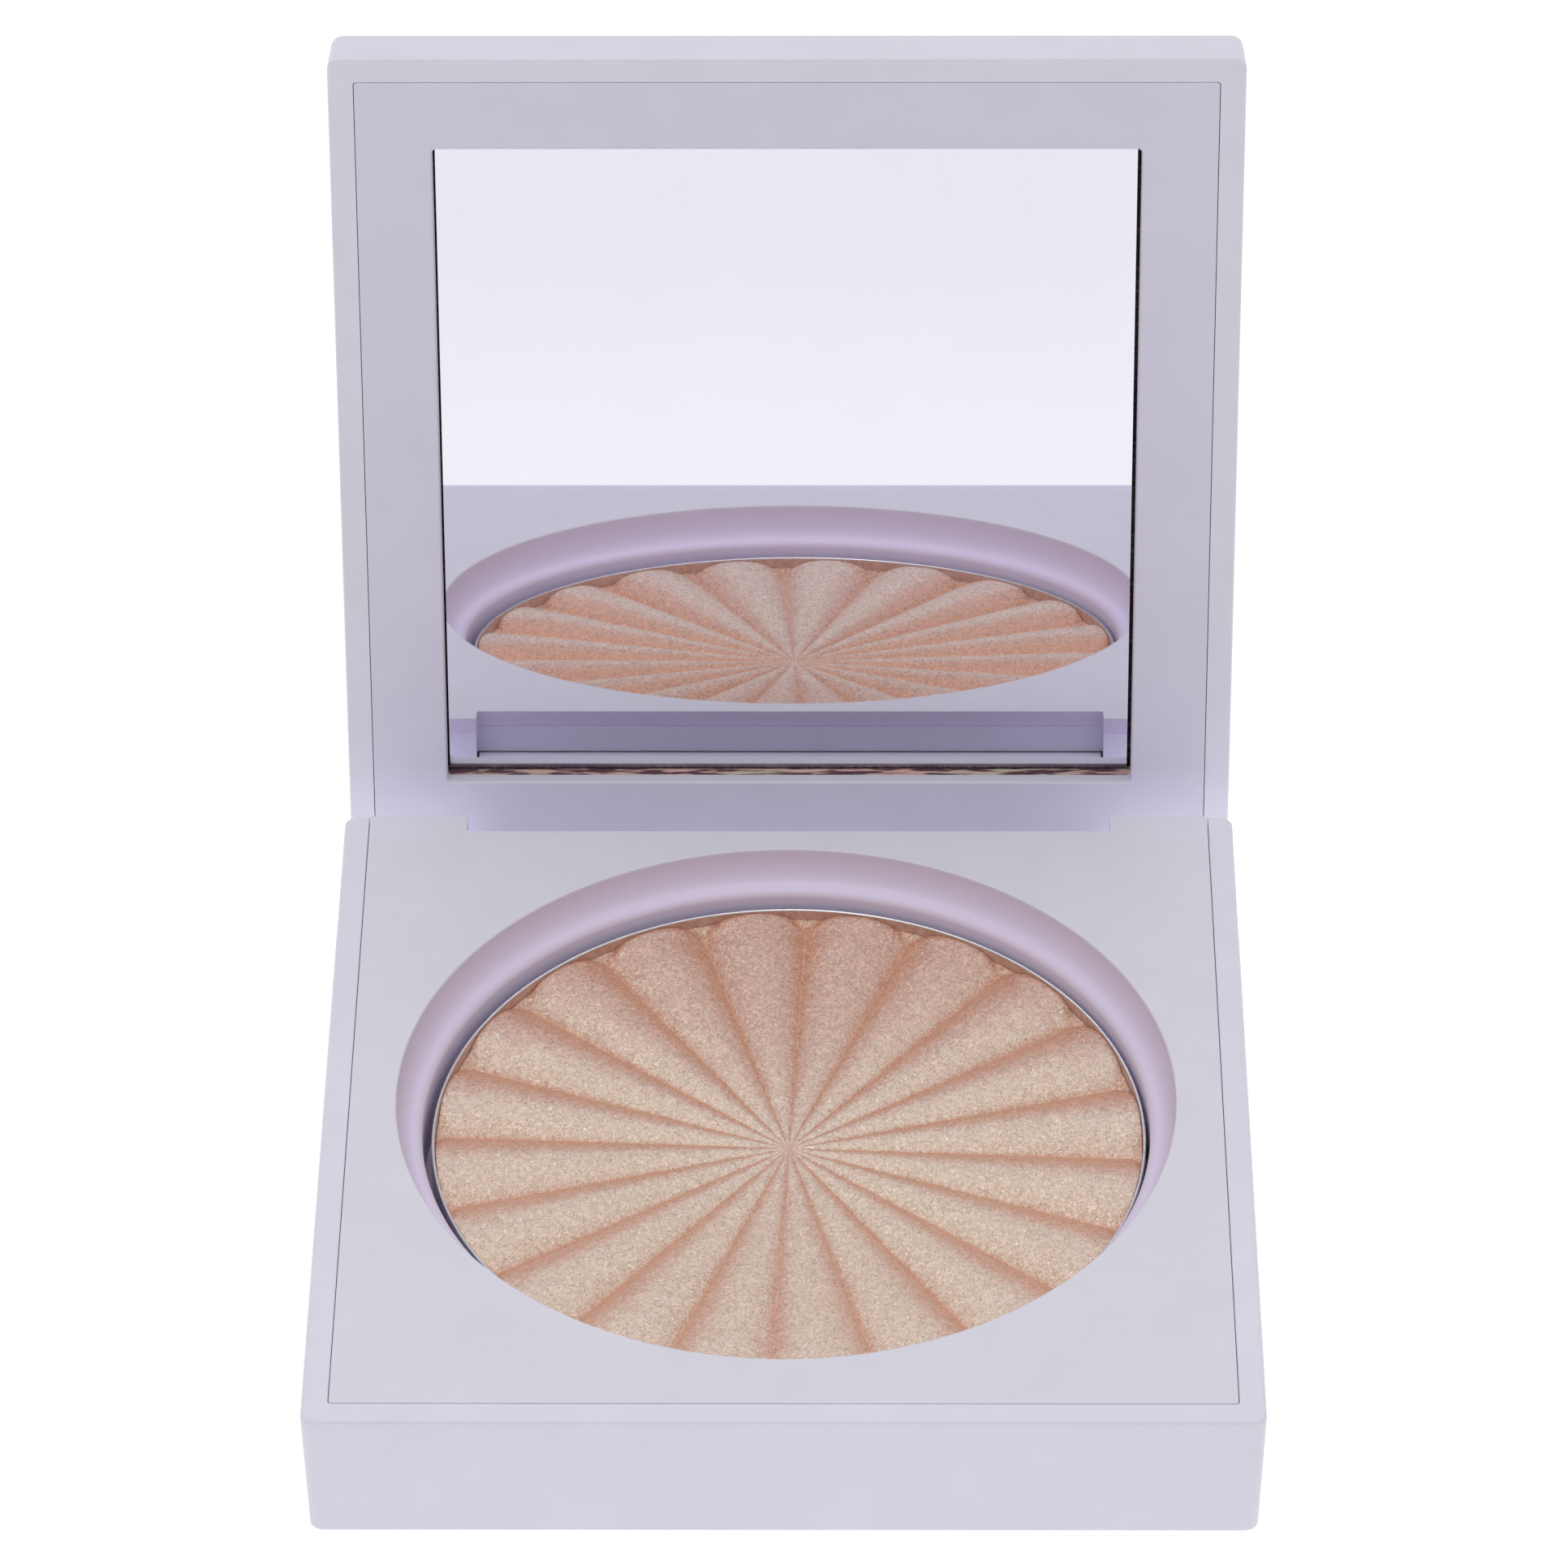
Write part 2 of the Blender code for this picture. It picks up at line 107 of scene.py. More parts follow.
def arc(centre: tuple[float, float], radius: float, start: float, end: float,
        steps: int) -> Outline:
    """Points along an arc, from one angle in degrees to another."""
    turns = [math.radians(start + (end - start) * step / steps) for step in range(steps + 1)]
    return [(centre[0] + radius * math.cos(t), centre[1] + radius * math.sin(t)) for t in turns]


def loft(outlines: Sequence[tuple[Outline, float]]) -> bmesh.types.BMesh:
    """Skin a stack of closed outlines and cap both ends.

    Args:
        outlines: Each outline's points and its height, from the lowest up.

    Returns:
        A closed body.
    """
    body = bmesh.new()
    rings = [[body.verts.new((x, y, z)) for x, y in points] for points, z in outlines]
    count = len(rings[0])
    for low, high in zip(rings, rings[1:]):
        for i in range(count):
            j = (i + 1) % count
            body.faces.new((low[i], low[j], high[j], high[i]))
    body.faces.new(list(reversed(rings[0])))
    body.faces.new(rings[-1])
    return body


def turned(profile: Outline, steps: int, centre: tuple[float, float] = (0.0, 0.0)
           ) -> bmesh.types.BMesh:
    """Turn a profile about an upright axis, as on a lathe.

    Args:
        profile: Points of (radius, z), upwards along the outside.
        steps: Sides of the turned body.
        centre: X and Y of the axis.

    Returns:
        A closed body.
    """
    body = bmesh.new()
    rings = []
    for radius, z in profile:
        if radius <= 0:
            rings.append([body.verts.new((centre[0], centre[1], z))])
            continue
        rings.append([
            body.verts.new((centre[0] + radius * math.cos(math.tau * step / steps),
                            centre[1] + radius * math.sin(math.tau * step / steps), z))
            for step in range(steps)])
    pairs = list(zip(rings, rings[1:]))
    if profile[0][0] > 0:
        pairs.append((rings[-1], rings[0]))
    for low, high in pairs:
        for i in range(steps):
            j = (i + 1) % steps
            around = [low[i % len(low)], low[j % len(low)],
                      high[j % len(high)], high[i % len(high)]]
            body.faces.new(list(dict.fromkeys(around)))
    return body


def bar_along_x(points: Outline, half_width: float) -> bmesh.types.BMesh:
    """Run a closed profile of (y, z) both ways along X."""
    body = bmesh.new()
    left = [body.verts.new((-half_width, y, z)) for y, z in points]
    right = [body.verts.new((half_width, y, z)) for y, z in points]
    count = len(points)
    for i in range(count):
        j = (i + 1) % count
        body.faces.new((left[i], left[j], right[j], right[i]))
    body.faces.new(list(reversed(left)))
    body.faces.new(right)
    bmesh.ops.recalc_face_normals(body, faces=body.faces)
    return body


def along_x(body: bmesh.types.BMesh, y: float, z: float) -> bmesh.types.BMesh:
    """Lay an upright turned body along X, with its axis at (y, z)."""
    place = Matrix.Translation((0, y, z)) @ Matrix.Rotation(math.radians(90), 4, "Y")
    bmesh.ops.transform(body, matrix=place, verts=body.verts)
    return body


def block(left: float, right: float, front: float, back: float, low: float, high: float,
          corner: float = 0.3 * MM, top_flare: float = 0.0) -> bmesh.types.BMesh:
    """An upright block with rounded corners, flared at 45 degrees at its top.

    Args:
        left, right, front, back: The sides.
        low, high: The ends.
        corner: Radius of the upright corners.
        top_flare: How far the last stretch under the top opens outwards.

    Returns:
        A closed body, used to cut a recess with a softened mouth.
    """
    levels = [(0.0, low)]
    if top_flare:
        levels += [(0.0, high - top_flare), (top_flare, high), (top_flare, high + 2 * MM)]
    else:
        levels.append((0.0, high))
    return loft([(rounded_outline(left - out, right + out, front - out, back + out,
                                  corner + out, 4), z) for out, z in levels])


def rim_levels(low: float, high: float, low_round: float, high_round: float, steps: int,
               low_draft: float = 0.0, high_draft: float = 0.0) -> Outline:
    """Work out how far in an upright body stands at each height, with both rims rounded.

    Args:
        low: Height of the lower face.
        high: Height of the upper face.
        low_round: Rounding of the lower rim.
        high_round: Rounding of the upper rim.
        steps: Straight runs in each rounding.
        low_draft: How much smaller the lower end is, on each side.
        high_draft: How much smaller the upper end is, on each side.

    Returns:
        Pairs of an inset and a height, from the lowest up.
    """
    levels = []
    for step in range(steps + 1):
        turn = math.radians(90 * step / steps)
        levels.append((low_draft + low_round * (1 - math.sin(turn)),
                       low + low_round * (1 - math.cos(turn))))
    for step in range(steps + 1):
        turn = math.radians(90 * step / steps)
        levels.append((high_draft + high_round * (1 - math.cos(turn)),
                       high - high_round * (1 - math.sin(turn))))
    return levels


def softened_plate(left: float, right: float, front: float, back: float, low: float,
                   high: float, corner: float, low_round: float, high_round: float,
                   steps: int = 3) -> bmesh.types.BMesh:
    """A flat plate whose two rims are rounded over.

    Args:
        left, right, front, back: The sides.
        low, high: The two faces.
        corner: Radius of the upright corners.
        low_round: Rounding of the lower rim.
        high_round: Rounding of the upper rim.
        steps: Straight runs in each rounding.

    Returns:
        A closed body.
    """
    levels = rim_levels(low, high, low_round, high_round, steps)
    return loft([(rounded_outline(left + inset, right - inset, front + inset, back - inset,
                                  corner), z) for inset, z in levels])


def make_piece(name: str, body: bmesh.types.BMesh, *finishes: bpy.types.Material
               ) -> bpy.types.Object:
    """Make an object of a body's mesh, and give it its finishes."""
    mesh = bpy.data.meshes.new(name)
    body.to_mesh(mesh)
    body.free()
    piece = bpy.data.objects.new(name, mesh)
    bpy.context.scene.collection.objects.link(piece)
    for finish in finishes:
        mesh.materials.append(finish)
    return piece


def combine(piece: bpy.types.Object,
            helpers: Iterable[tuple[Cut, bmesh.types.BMesh]]) -> None:
    """Cut helper bodies out of a piece or join them to it, in order, and keep the result.

    Args:
        piece: The piece that is cut.
        helpers: Each helper body and what it does.
    """
    made = []
    for cut, body in helpers:
        helper = make_piece("helper", body)
        step = piece.modifiers.new("helper", "BOOLEAN")
        step.operation = cut.value
        step.solver = "EXACT"
        step.object = helper
        made.append(helper)
    keep_result(piece)
    for helper in made:
        bpy.data.objects.remove(helper, do_unlink=True)


def keep_result(piece: bpy.types.Object) -> None:
    """Replace a piece's mesh with what its modifiers make of it."""
    ready = piece.evaluated_get(bpy.context.evaluated_depsgraph_get())
    mesh = bpy.data.meshes.new_from_object(ready)
    piece.modifiers.clear()
    piece.data = mesh
    mesh.name = piece.name


def smooth(piece: bpy.types.Object, degrees: float = 32.0) -> None:
    """Shade a piece smoothly, keep its edges crisp and its flats flat."""
    piece.data.shade_smooth()
    piece.data.set_sharp_from_angle(angle=math.radians(degrees))
    weigh = piece.modifiers.new("flat_faces_lead", "WEIGHTED_NORMAL")
    weigh.keep_sharp = True
    weigh.weight = 80


# ---------------------------------------------------------------- finishes


class Recipe:
    """The node tree of one finish, around a Principled shader."""

    def __init__(self, name: str, colour: Colour, roughness: float,
                 metallic: float = 0.0) -> None:
        """Start a finish from its plain values."""
        self.material = bpy.data.materials.new(name)
        self.material.use_nodes = True
        self.tree = self.material.node_tree
        self.shader = self.tree.nodes["Principled BSDF"]
        self.set("Base Color", (*colour, 1.0))
        self.set("Roughness", roughness)
        self.set("Metallic", metallic)
        self.material.diffuse_color = (*colour, 1.0)
        self.place = self.add("ShaderNodeTexCoord").outputs["Object"]

    def set(self, socket: str, value: object) -> None:
        """Set one of the shader's own sockets."""
        self.shader.inputs[socket].default_value = value

    def drive(self, socket: str, source: Socket) -> None:
        """Link one of the shader's sockets."""
        self.tree.links.new(source, self.shader.inputs[socket])

    def add(self, kind: str, inputs: dict[str | int, object] | None = None,
            **settings: object) -> bpy.types.Node:
        """Add a node.

        Args:
            kind: The node's type.
            inputs: Values or sockets for its inputs.
            settings: Its own properties.

        Returns:
            The node.
        """
        node = self.tree.nodes.new(kind)
        for key, value in settings.items():
            setattr(node, key, value)
        for key, value in (inputs or {}).items():
            if isinstance(value, Socket):
                self.tree.links.new(value, node.inputs[key])
            else:
                node.inputs[key].default_value = value
        return node

    def noise(self, size: float, detail: float = 2.0, vector: Socket | None = None) -> Socket:
        """Cloudy noise whose features are about size across."""
        return self.add("ShaderNodeTexNoise", {
            "Vector": vector or self.place, "Scale": 1.0 / size, "Detail": detail,
        }).outputs["Fac"]

    def cells(self, size: float) -> bpy.types.Node:
        """Random cells about size across, such as flakes."""
        return self.add("ShaderNodeTexVoronoi", {"Vector": self.place, "Scale": 1.0 / size})

    def sum(self, kind: str, a: Socket | float, b: Socket | float = 0.0,
            c: Socket | float = 0.0) -> Socket:
        """One sum on numbers."""
        return self.add("ShaderNodeMath", {0: a, 1: b, 2: c}, operation=kind).outputs[0]

    def stretch(self, value: Socket, low: float, high: float, to_low: float = 0.0,
                to_high: float = 1.0) -> Socket:
        """Carry a range of values smoothly over to another."""
        return self.add("ShaderNodeMapRange", {
            "Value": value, "From Min": low, "From Max": high,
            "To Min": to_low, "To Max": to_high}, interpolation_type="SMOOTHSTEP").outputs[0]

    def blend(self, factor: Socket | float, a: Socket | Colour, b: Socket | Colour) -> Socket:
        """Mix two colours."""
        sides = [side if isinstance(side, Socket) else (*side, 1.0) for side in (a, b)]
        node = self.add("ShaderNodeMix", {0: factor, 6: sides[0], 7: sides[1]}, data_type="RGBA")
        return node.outputs[2]

    def attribute(self, name: str) -> Socket:
        """A number that the mesh carries at its points."""
        return self.add("ShaderNodeAttribute", attribute_name=name).outputs["Fac"]

    def relief(self, height: Socket, depth: float, normal: Socket | None = None) -> Socket:
        """Turn a height into fine relief of that depth."""
        inputs = {"Height": height, "Distance": depth, "Strength": 1.0}
        if normal:
            inputs["Normal"] = normal
        return self.add("ShaderNodeBump", inputs).outputs["Normal"]


def shade(colour: Colour, factor: float) -> Colour:
    """A lighter or darker tone of a colour."""
    return tuple(min(1.0, part * factor) for part in colour)


@dataclass(frozen=True)
class SatinPlastic:
    """Moulded plastic, coloured through, with a very fine satin grain; below a given height it
    can turn pinker, which is painted bounce light.
    """

    name: str
    colour: Colour
    roughness: float = 0.42
    grain: float = 0.07 * MM
    mottle: float = 5.0 * MM
    painted_bounce_tint: Colour = (0.835, 0.755, 0.945)
    painted_bounce_top: float = 0.0

    def material(self) -> bpy.types.Material:
        """Mix the finish."""
        recipe = Recipe(self.name, self.colour, self.roughness)
        cloud = recipe.stretch(recipe.noise(self.mottle, 4.0), 0.3, 0.7)
        body = recipe.blend(cloud, shade(self.colour, 0.985), shade(self.colour, 1.012))
        # Below this height the colour turns pinker: painted bounce light, standing for the pink
        # light the powder throws onto the well's walls.
        if self.painted_bounce_top:
            z = recipe.add("ShaderNodeSeparateXYZ", {0: recipe.place}).outputs["Z"]
            body = recipe.blend(recipe.stretch(
                z, self.painted_bounce_top - 0.5 * MM, self.painted_bounce_top, 1.0, 0.0), body, self.painted_bounce_tint)
        recipe.drive("Base Color", body)
        grain = recipe.noise(self.grain, 3.0)
        spread = recipe.stretch(grain, 0.25, 0.75, self.roughness - 0.05, self.roughness + 0.05)
        recipe.drive("Roughness", spread)
        waves = recipe.noise(2.2 * MM, 1.0)
        broad = recipe.relief(waves, 0.004 * MM)
        recipe.drive("Normal", recipe.relief(grain, 0.0035 * MM, broad))
        recipe.set("IOR", 1.46)
        return recipe.material


@dataclass(frozen=True)
class ShimmerPowder:
    """Baked shimmer powder: peach pigment full of small pearl and gold flakes, with its sheen
    painted in by the lean of each petal: cream painted sheen and gold painted glints where it
    faces the front, salmon painted shade where it faces the back.
    """

    salmon: Colour = (0.83, 0.47, 0.33)
    pink: Colour = (0.89, 0.61, 0.51)
    # Cream is painted sheen, for slopes that face the front and for the crowns.
    painted_sheen_cream: Colour = (0.97, 0.80, 0.675)
    # A light salmon painted into the valleys: painted light, set against the shade they get.
    painted_valley_light: Colour = (0.95, 0.68, 0.55)
    # Gold flakes: a few everywhere, many more on slopes that face the front near the rim, where
    # they are painted glints.
    gold_flake_glint: Colour = (0.98, 0.85, 0.62)
    pearl: Colour = (1.0, 0.90, 0.78)
    ruddy: Colour = (0.62, 0.36, 0.26)
    # A painted gradient of sheen over the cake: lighter towards the front, salmon painted shade
    # towards the back.
    painted_front_sheen: float = 0.14
    painted_back_shade: float = -0.34
    fine_flake: float = 0.11 * MM
    coarse_flake: float = 0.24 * MM
    tilt: float = 0.46

    def pigment_with_painted_sheen(self, recipe: Recipe) -> Socket:
        """The colour before flakes: peach pigment with painted light on it, salmon painted shade
        where a slope faces the back, cream painted sheen where it faces the front and on the
        crowns, and a painted gradient, lighter to the front and more salmon to the back.

        Args:
            recipe: The finish being mixed.

        Returns:
            The colour before any flakes.
        """
        relief, facing = recipe.attribute("relief"), recipe.attribute("facing")
        wander = recipe.noise(0.9 * MM, 3.0)
        # The lean mixes real random tone with painted light: it rises on slopes that face the
        # front and on the crowns, and falls on slopes that face the back.
        lean = recipe.sum("MULTIPLY_ADD", facing, 0.62,
                          recipe.sum("MULTIPLY_ADD", relief, 0.5,
                                     recipe.sum("MULTIPLY_ADD", wander, 0.5, -0.25)))
        y = recipe.add("ShaderNodeSeparateXYZ", {0: recipe.place}).outputs["Y"]
        # Painted gradient: lighter towards the front, more salmon towards the back.
        lean = recipe.sum("ADD", lean, recipe.stretch(
            y, -12.0 * MM, 30.0 * MM, self.painted_front_sheen, self.painted_back_shade))
        # Salmon where the lean is low, pink, then cream where it is high: painted shade on the
        # back slopes, painted sheen on the front slopes and crowns.
        body = recipe.blend(recipe.stretch(lean, -0.25, 0.2), self.salmon, self.pink)
        body = recipe.blend(recipe.stretch(lean, 0.2, 0.6), body, self.painted_sheen_cream)
        # In the valleys, away from the front-facing slopes and the middle, the colour is lifted
        # to a light salmon: painted light against the shade there.
        low = recipe.sum("MULTIPLY", recipe.stretch(relief, 0.0, 0.14, 0.85, 0.0),
                         recipe.stretch(facing, -0.1, 0.5, 1.0, 0.15))
        low = recipe.sum("MULTIPLY", low, recipe.stretch(
            recipe.attribute("rim"), 0.04, 0.30, 0.2, 1.0))
        return recipe.blend(low, body, self.painted_valley_light)

    def material(self) -> bpy.types.Material:
        """Mix the finish."""
        recipe = Recipe("shimmer_powder_cake", self.pink, 0.42, 0.35)
        facing, rim = recipe.attribute("facing"), recipe.attribute("rim")
        fine = recipe.cells(self.fine_flake).outputs["Color"]
        coarse = recipe.cells(self.coarse_flake).outputs["Color"]
        small = recipe.add("ShaderNodeSeparateColor", {0: fine}).outputs
        large = recipe.add("ShaderNodeSeparateColor", {0: coarse}).outputs
        fibre = recipe.add("ShaderNodeTexNoise", {
            "Vector": recipe.place, "Scale": 1.0 / (0.34 * MM), "Detail": 4.0,
            "Roughness": 0.65, "Distortion": 1.6}).outputs["Fac"]
        body = self.pigment_with_painted_sheen(recipe)
        # Gold flakes are few all over and thick on front-facing slopes near the rim, where they
        # are painted glints. The dark flecks below gather at the same places.
        front_glint_mask = recipe.sum("MULTIPLY", recipe.stretch(facing, 0.1, 0.8), rim)
        lit = recipe.sum("MULTIPLY", recipe.stretch(large[0], 0.6, 0.95),
                         recipe.stretch(front_glint_mask, 0.0, 0.8, 0.15, 0.8))
        body = recipe.blend(lit, body, self.gold_flake_glint)
        dark = recipe.sum("MULTIPLY", recipe.stretch(small[1], 0.72, 1.0),
                          recipe.stretch(front_glint_mask, 0.2, 0.9, 0.08, 0.6))
        body = recipe.blend(dark, body, self.ruddy)
        body = recipe.blend(recipe.stretch(fibre, 0.36, 0.54, 0.5, 0.0), body,
                            shade(self.salmon, 0.88))
        body = recipe.blend(recipe.stretch(fibre, 0.54, 0.70, 0.0, 0.6), body, self.pearl)
        # Slopes that face the back are pushed further to salmon: painted shade.
        body = recipe.blend(recipe.stretch(facing, -0.6, 0.0, 0.6, 0.0), body, self.salmon)
        recipe.drive("Base Color", body)
        recipe.set("Specular IOR Level", 0.2)
        recipe.drive("Metallic", recipe.stretch(small[0], 0.1, 0.9, 0.1, 0.65))
        recipe.drive("Roughness", recipe.stretch(large[1], 0.0, 1.0, 0.24, 0.46))
        half = (0.5, 0.5, 0.5)
        leans = [recipe.add("ShaderNodeVectorMath", {0: flake, 1: half},
                            operation="SUBTRACT").outputs[0] for flake in (fine, coarse)]
        both = recipe.add("ShaderNodeVectorMath", {0: leans[0], 1: leans[1]},
                          operation="ADD").outputs[0]
        tilted = recipe.add("ShaderNodeVectorMath", {0: both, "Scale": self.tilt},
                            operation="SCALE").outputs[0]
        base = recipe.add("ShaderNodeNewGeometry").outputs["Normal"]
        leaning = recipe.add("ShaderNodeVectorMath", {0: base, 1: tilted},
                             operation="ADD").outputs[0]
        level = recipe.add("ShaderNodeVectorMath", {0: leaning},
                           operation="NORMALIZE").outputs[0]
        recipe.drive("Normal", recipe.relief(fibre, 0.10 * MM, level))
        return recipe.material


@dataclass(frozen=True)
class SheetMetal:
    """Bare metal with fine drawing marks."""

    name: str
    colour: Colour
    roughness: float
    marks: tuple[float, float, float]

    def material(self) -> bpy.types.Material:
        """Mix the finish."""
        recipe = Recipe(self.name, self.colour, self.roughness, 1.0)
        along = recipe.add("ShaderNodeMapping", {
            "Vector": recipe.place, "Scale": self.marks}).outputs[0]
        line = recipe.noise(0.1 * MM, 3.0, along)
        cloud = recipe.noise(1.5 * MM, 3.0)
        recipe.drive("Base Color", recipe.blend(
            recipe.stretch(cloud, 0.3, 0.7), shade(self.colour, 0.9), self.colour))
        recipe.drive("Roughness", recipe.stretch(
            line, 0.2, 0.8, self.roughness - 0.06, self.roughness + 0.08))
        recipe.drive("Normal", recipe.relief(line, 0.002 * MM))
        return recipe.material


@dataclass(frozen=True)
class ClearGlass:
    """The mirror's polished front pane."""

    colour: Colour = (0.985, 0.982, 0.995)

    def material(self) -> bpy.types.Material:
        """Mix the finish."""
        recipe = Recipe("clear_pane", self.colour, 0.0)
        recipe.set("IOR", 1.5)
        recipe.set("Transmission Weight", 1.0)
        dust = recipe.noise(0.5 * MM, 3.0)
        recipe.drive("Base Color", recipe.blend(
            recipe.stretch(dust, 0.6, 0.8), self.colour, shade(self.colour, 0.985)))
        return recipe.material


@dataclass(frozen=True)
class SilverFilm:
    """The reflecting film behind the pane."""

    colour: Colour = (0.905, 0.895, 0.955)

    def material(self) -> bpy.types.Material:
        """Mix the finish."""
        recipe = Recipe("silver_film", self.colour, 0.02, 1.0)
        haze = recipe.noise(9.0 * MM, 2.0)
        recipe.drive("Base Color", recipe.blend(
            recipe.stretch(haze, 0.3, 0.7), self.colour, shade(self.colour, 1.008)))
        recipe.drive("Roughness", recipe.stretch(haze, 0.3, 0.7, 0.0, 0.012))
        return recipe.material


@dataclass(frozen=True)
class CutEdge:
    """The rough, stained edge left where the mirror was cut and glued."""

    dark: Colour = (0.022, 0.006, 0.014)
    warm: Colour = (0.22, 0.09, 0.12)

    def material(self) -> bpy.types.Material:
        """Mix the finish."""
        recipe = Recipe("mirror_cut_edge", self.dark, 0.35)
        along = recipe.add("ShaderNodeMapping", {
            "Vector": recipe.place, "Scale": (0.22, 1.0, 1.0)}).outputs[0]
        streak = recipe.noise(0.5 * MM, 4.0, along)
        recipe.drive("Base Color", recipe.blend(
            recipe.stretch(streak, 0.5, 0.72), self.dark, self.warm))
        chips = recipe.cells(0.3 * MM)
        recipe.drive("Roughness", recipe.stretch(chips.outputs["Distance"], 0.0, 0.7, 0.15, 0.6))
        recipe.drive("Normal", recipe.relief(streak, 0.05 * MM))
        return recipe.material


@dataclass(frozen=True)
class StreakedGlue:
    """Smeared adhesive along the foot of the mirror: pink and brown streaks in plum."""

    plum: Colour = (0.08, 0.022, 0.045)
    pink: Colour = (0.66, 0.37, 0.35)
    straw: Colour = (0.58, 0.48, 0.38)

    def material(self) -> bpy.types.Material:
        """Mix the finish."""
        recipe = Recipe("streaked_glue", self.pink, 0.5)
        along = recipe.add("ShaderNodeMapping", {
            "Vector": recipe.place, "Scale": (0.09, 1.0, 1.0)}).outputs[0]
        broad = recipe.noise(0.9 * MM, 3.0, along)
        fine = recipe.noise(0.28 * MM, 4.0, along)
        body = recipe.blend(recipe.stretch(broad, 0.46, 0.60), self.pink, self.straw)
        body = recipe.blend(recipe.stretch(fine, 0.42, 0.54), body, self.plum)
        recipe.drive("Base Color", body)
        recipe.drive("Roughness", recipe.stretch(fine, 0.3, 0.7, 0.35, 0.6))
        recipe.drive("Normal", recipe.relief(fine, 0.03 * MM))
        return recipe.material


@dataclass(frozen=True)
class BackingPaint:
    """The protective paint behind the silver."""

    name: str
    colour: Colour
    second: Colour
    roughness: float = 0.5

    def material(self) -> bpy.types.Material:
        """Mix the finish."""
        recipe = Recipe(self.name, self.colour, self.roughness)
        cloud = recipe.noise(0.6 * MM, 5.0)
        recipe.drive("Base Color", recipe.blend(
            recipe.stretch(cloud, 0.35, 0.7), self.colour, self.second))
        recipe.drive("Roughness", recipe.stretch(
            cloud, 0.3, 0.7, self.roughness - 0.1, self.roughness + 0.1))
        recipe.drive("Normal", recipe.relief(cloud, 0.02 * MM))
        return recipe.material


CASE_PLASTIC = SatinPlastic("lavender_case_satin", (0.862, 0.838, 0.960))
# The deck turns pinker below its top face, all through the well: painted bounce light from the
# powder.
DECK_PLASTIC = SatinPlastic("lavender_deck_satin", (0.83, 0.811, 0.912), 0.46,
                            painted_bounce_top=12.24 * MM)
FRAME_PLASTIC = SatinPlastic("lavender_frame_satin", (0.80, 0.768, 0.915), 0.46)
PAN_TIN = SheetMetal("pan_tinplate", (0.80, 0.80, 0.83), 0.26, (1.0, 1.0, 0.08))
DUSTY_TIN = BackingPaint("powder_dusted_tin", (0.62, 0.36, 0.28), (0.74, 0.50, 0.42), 0.5)
PIN_STEEL = SheetMetal("hinge_pin_steel_drawn", (0.60, 0.60, 0.62), 0.28, (0.05, 1.0, 1.0))
MAGNET_NICKEL = SheetMetal("magnet_nickel_plate", (0.62, 0.60, 0.56), 0.22, (1.0, 1.0, 1.0))
PLUM_BACKING = BackingPaint("plum_backing_paint", (0.035, 0.012, 0.022), (0.10, 0.045, 0.055))
GLUE = BackingPaint("clear_glue_film", (0.16, 0.08, 0.10), (0.24, 0.15, 0.14), 0.55)


# ---------------------------------------------------------------- the compact


@dataclass
class Piece:
    """One visible piece, and what it stands for."""

    item: bpy.types.Object
    body: Body
    slot: str
    stands_for: tuple[str, ...] = ()

    def place(self) -> None:
        """Put the piece on its body and report it."""
        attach(self.item, self.body.value)
        if self.stands_for:
            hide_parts(*self.stands_for)
        log.info("%s rides on %s, %d faces", self.item.name, self.body.value,
                 len(self.item.data.polygons))


@dataclass
class CaseSizes:
    """Sizes that the base and the lid share."""

    width: float = 76.0 * MM
    depth: float = 76.0 * MM
    wall: float = 2.1 * MM
    plate: float = 1.34 * MM
    seam: float = 0.06 * MM
    bed: float = 0.02 * MM
    gap: float = 0.2 * MM
    corner: float = 1.0 * MM
    edge_round: float = 0.4 * MM
    base_height: float = 12.25 * MM
    magnet_radius: float = 2.5 * MM
    magnet_x: float = 32.0 * MM
    magnet_from_front: float = 5.4 * MM
    plate_corner: float = 0.3 * MM
    shoulder: float = 0.6 * MM
    past: float = 2.0 * MM

    @property
    def front(self) -> float:
        """Y of the case's front."""
        return -self.depth / 2

    @property
    def back(self) -> float:
        """Y of the case's back."""
        return self.depth / 2

    def block(self, low: float, high: float, low_draft: float, high_draft: float,
              low_round: float, high_round: float, centre_y: float = 0.0,
              steps: int = 8) -> bmesh.types.BMesh:
        """A square block with drafted sides and rounded corners and rims.

        Args:
            low, high: Its ends.
            low_draft, high_draft: How much smaller each end is, on each side.
            low_round, high_round: Rounding of the two rims.
            centre_y: Y of its middle.
            steps: Straight runs in each rounding.

        Returns:
            A closed body.
        """
        levels = rim_levels(low, high, low_round, high_round, steps, low_draft, high_draft)
        return loft([(rounded_outline(
            -self.width / 2 + inset, self.width / 2 - inset,
            centre_y - self.depth / 2 + inset, centre_y + self.depth / 2 - inset,
            self.corner), z) for inset, z in levels])


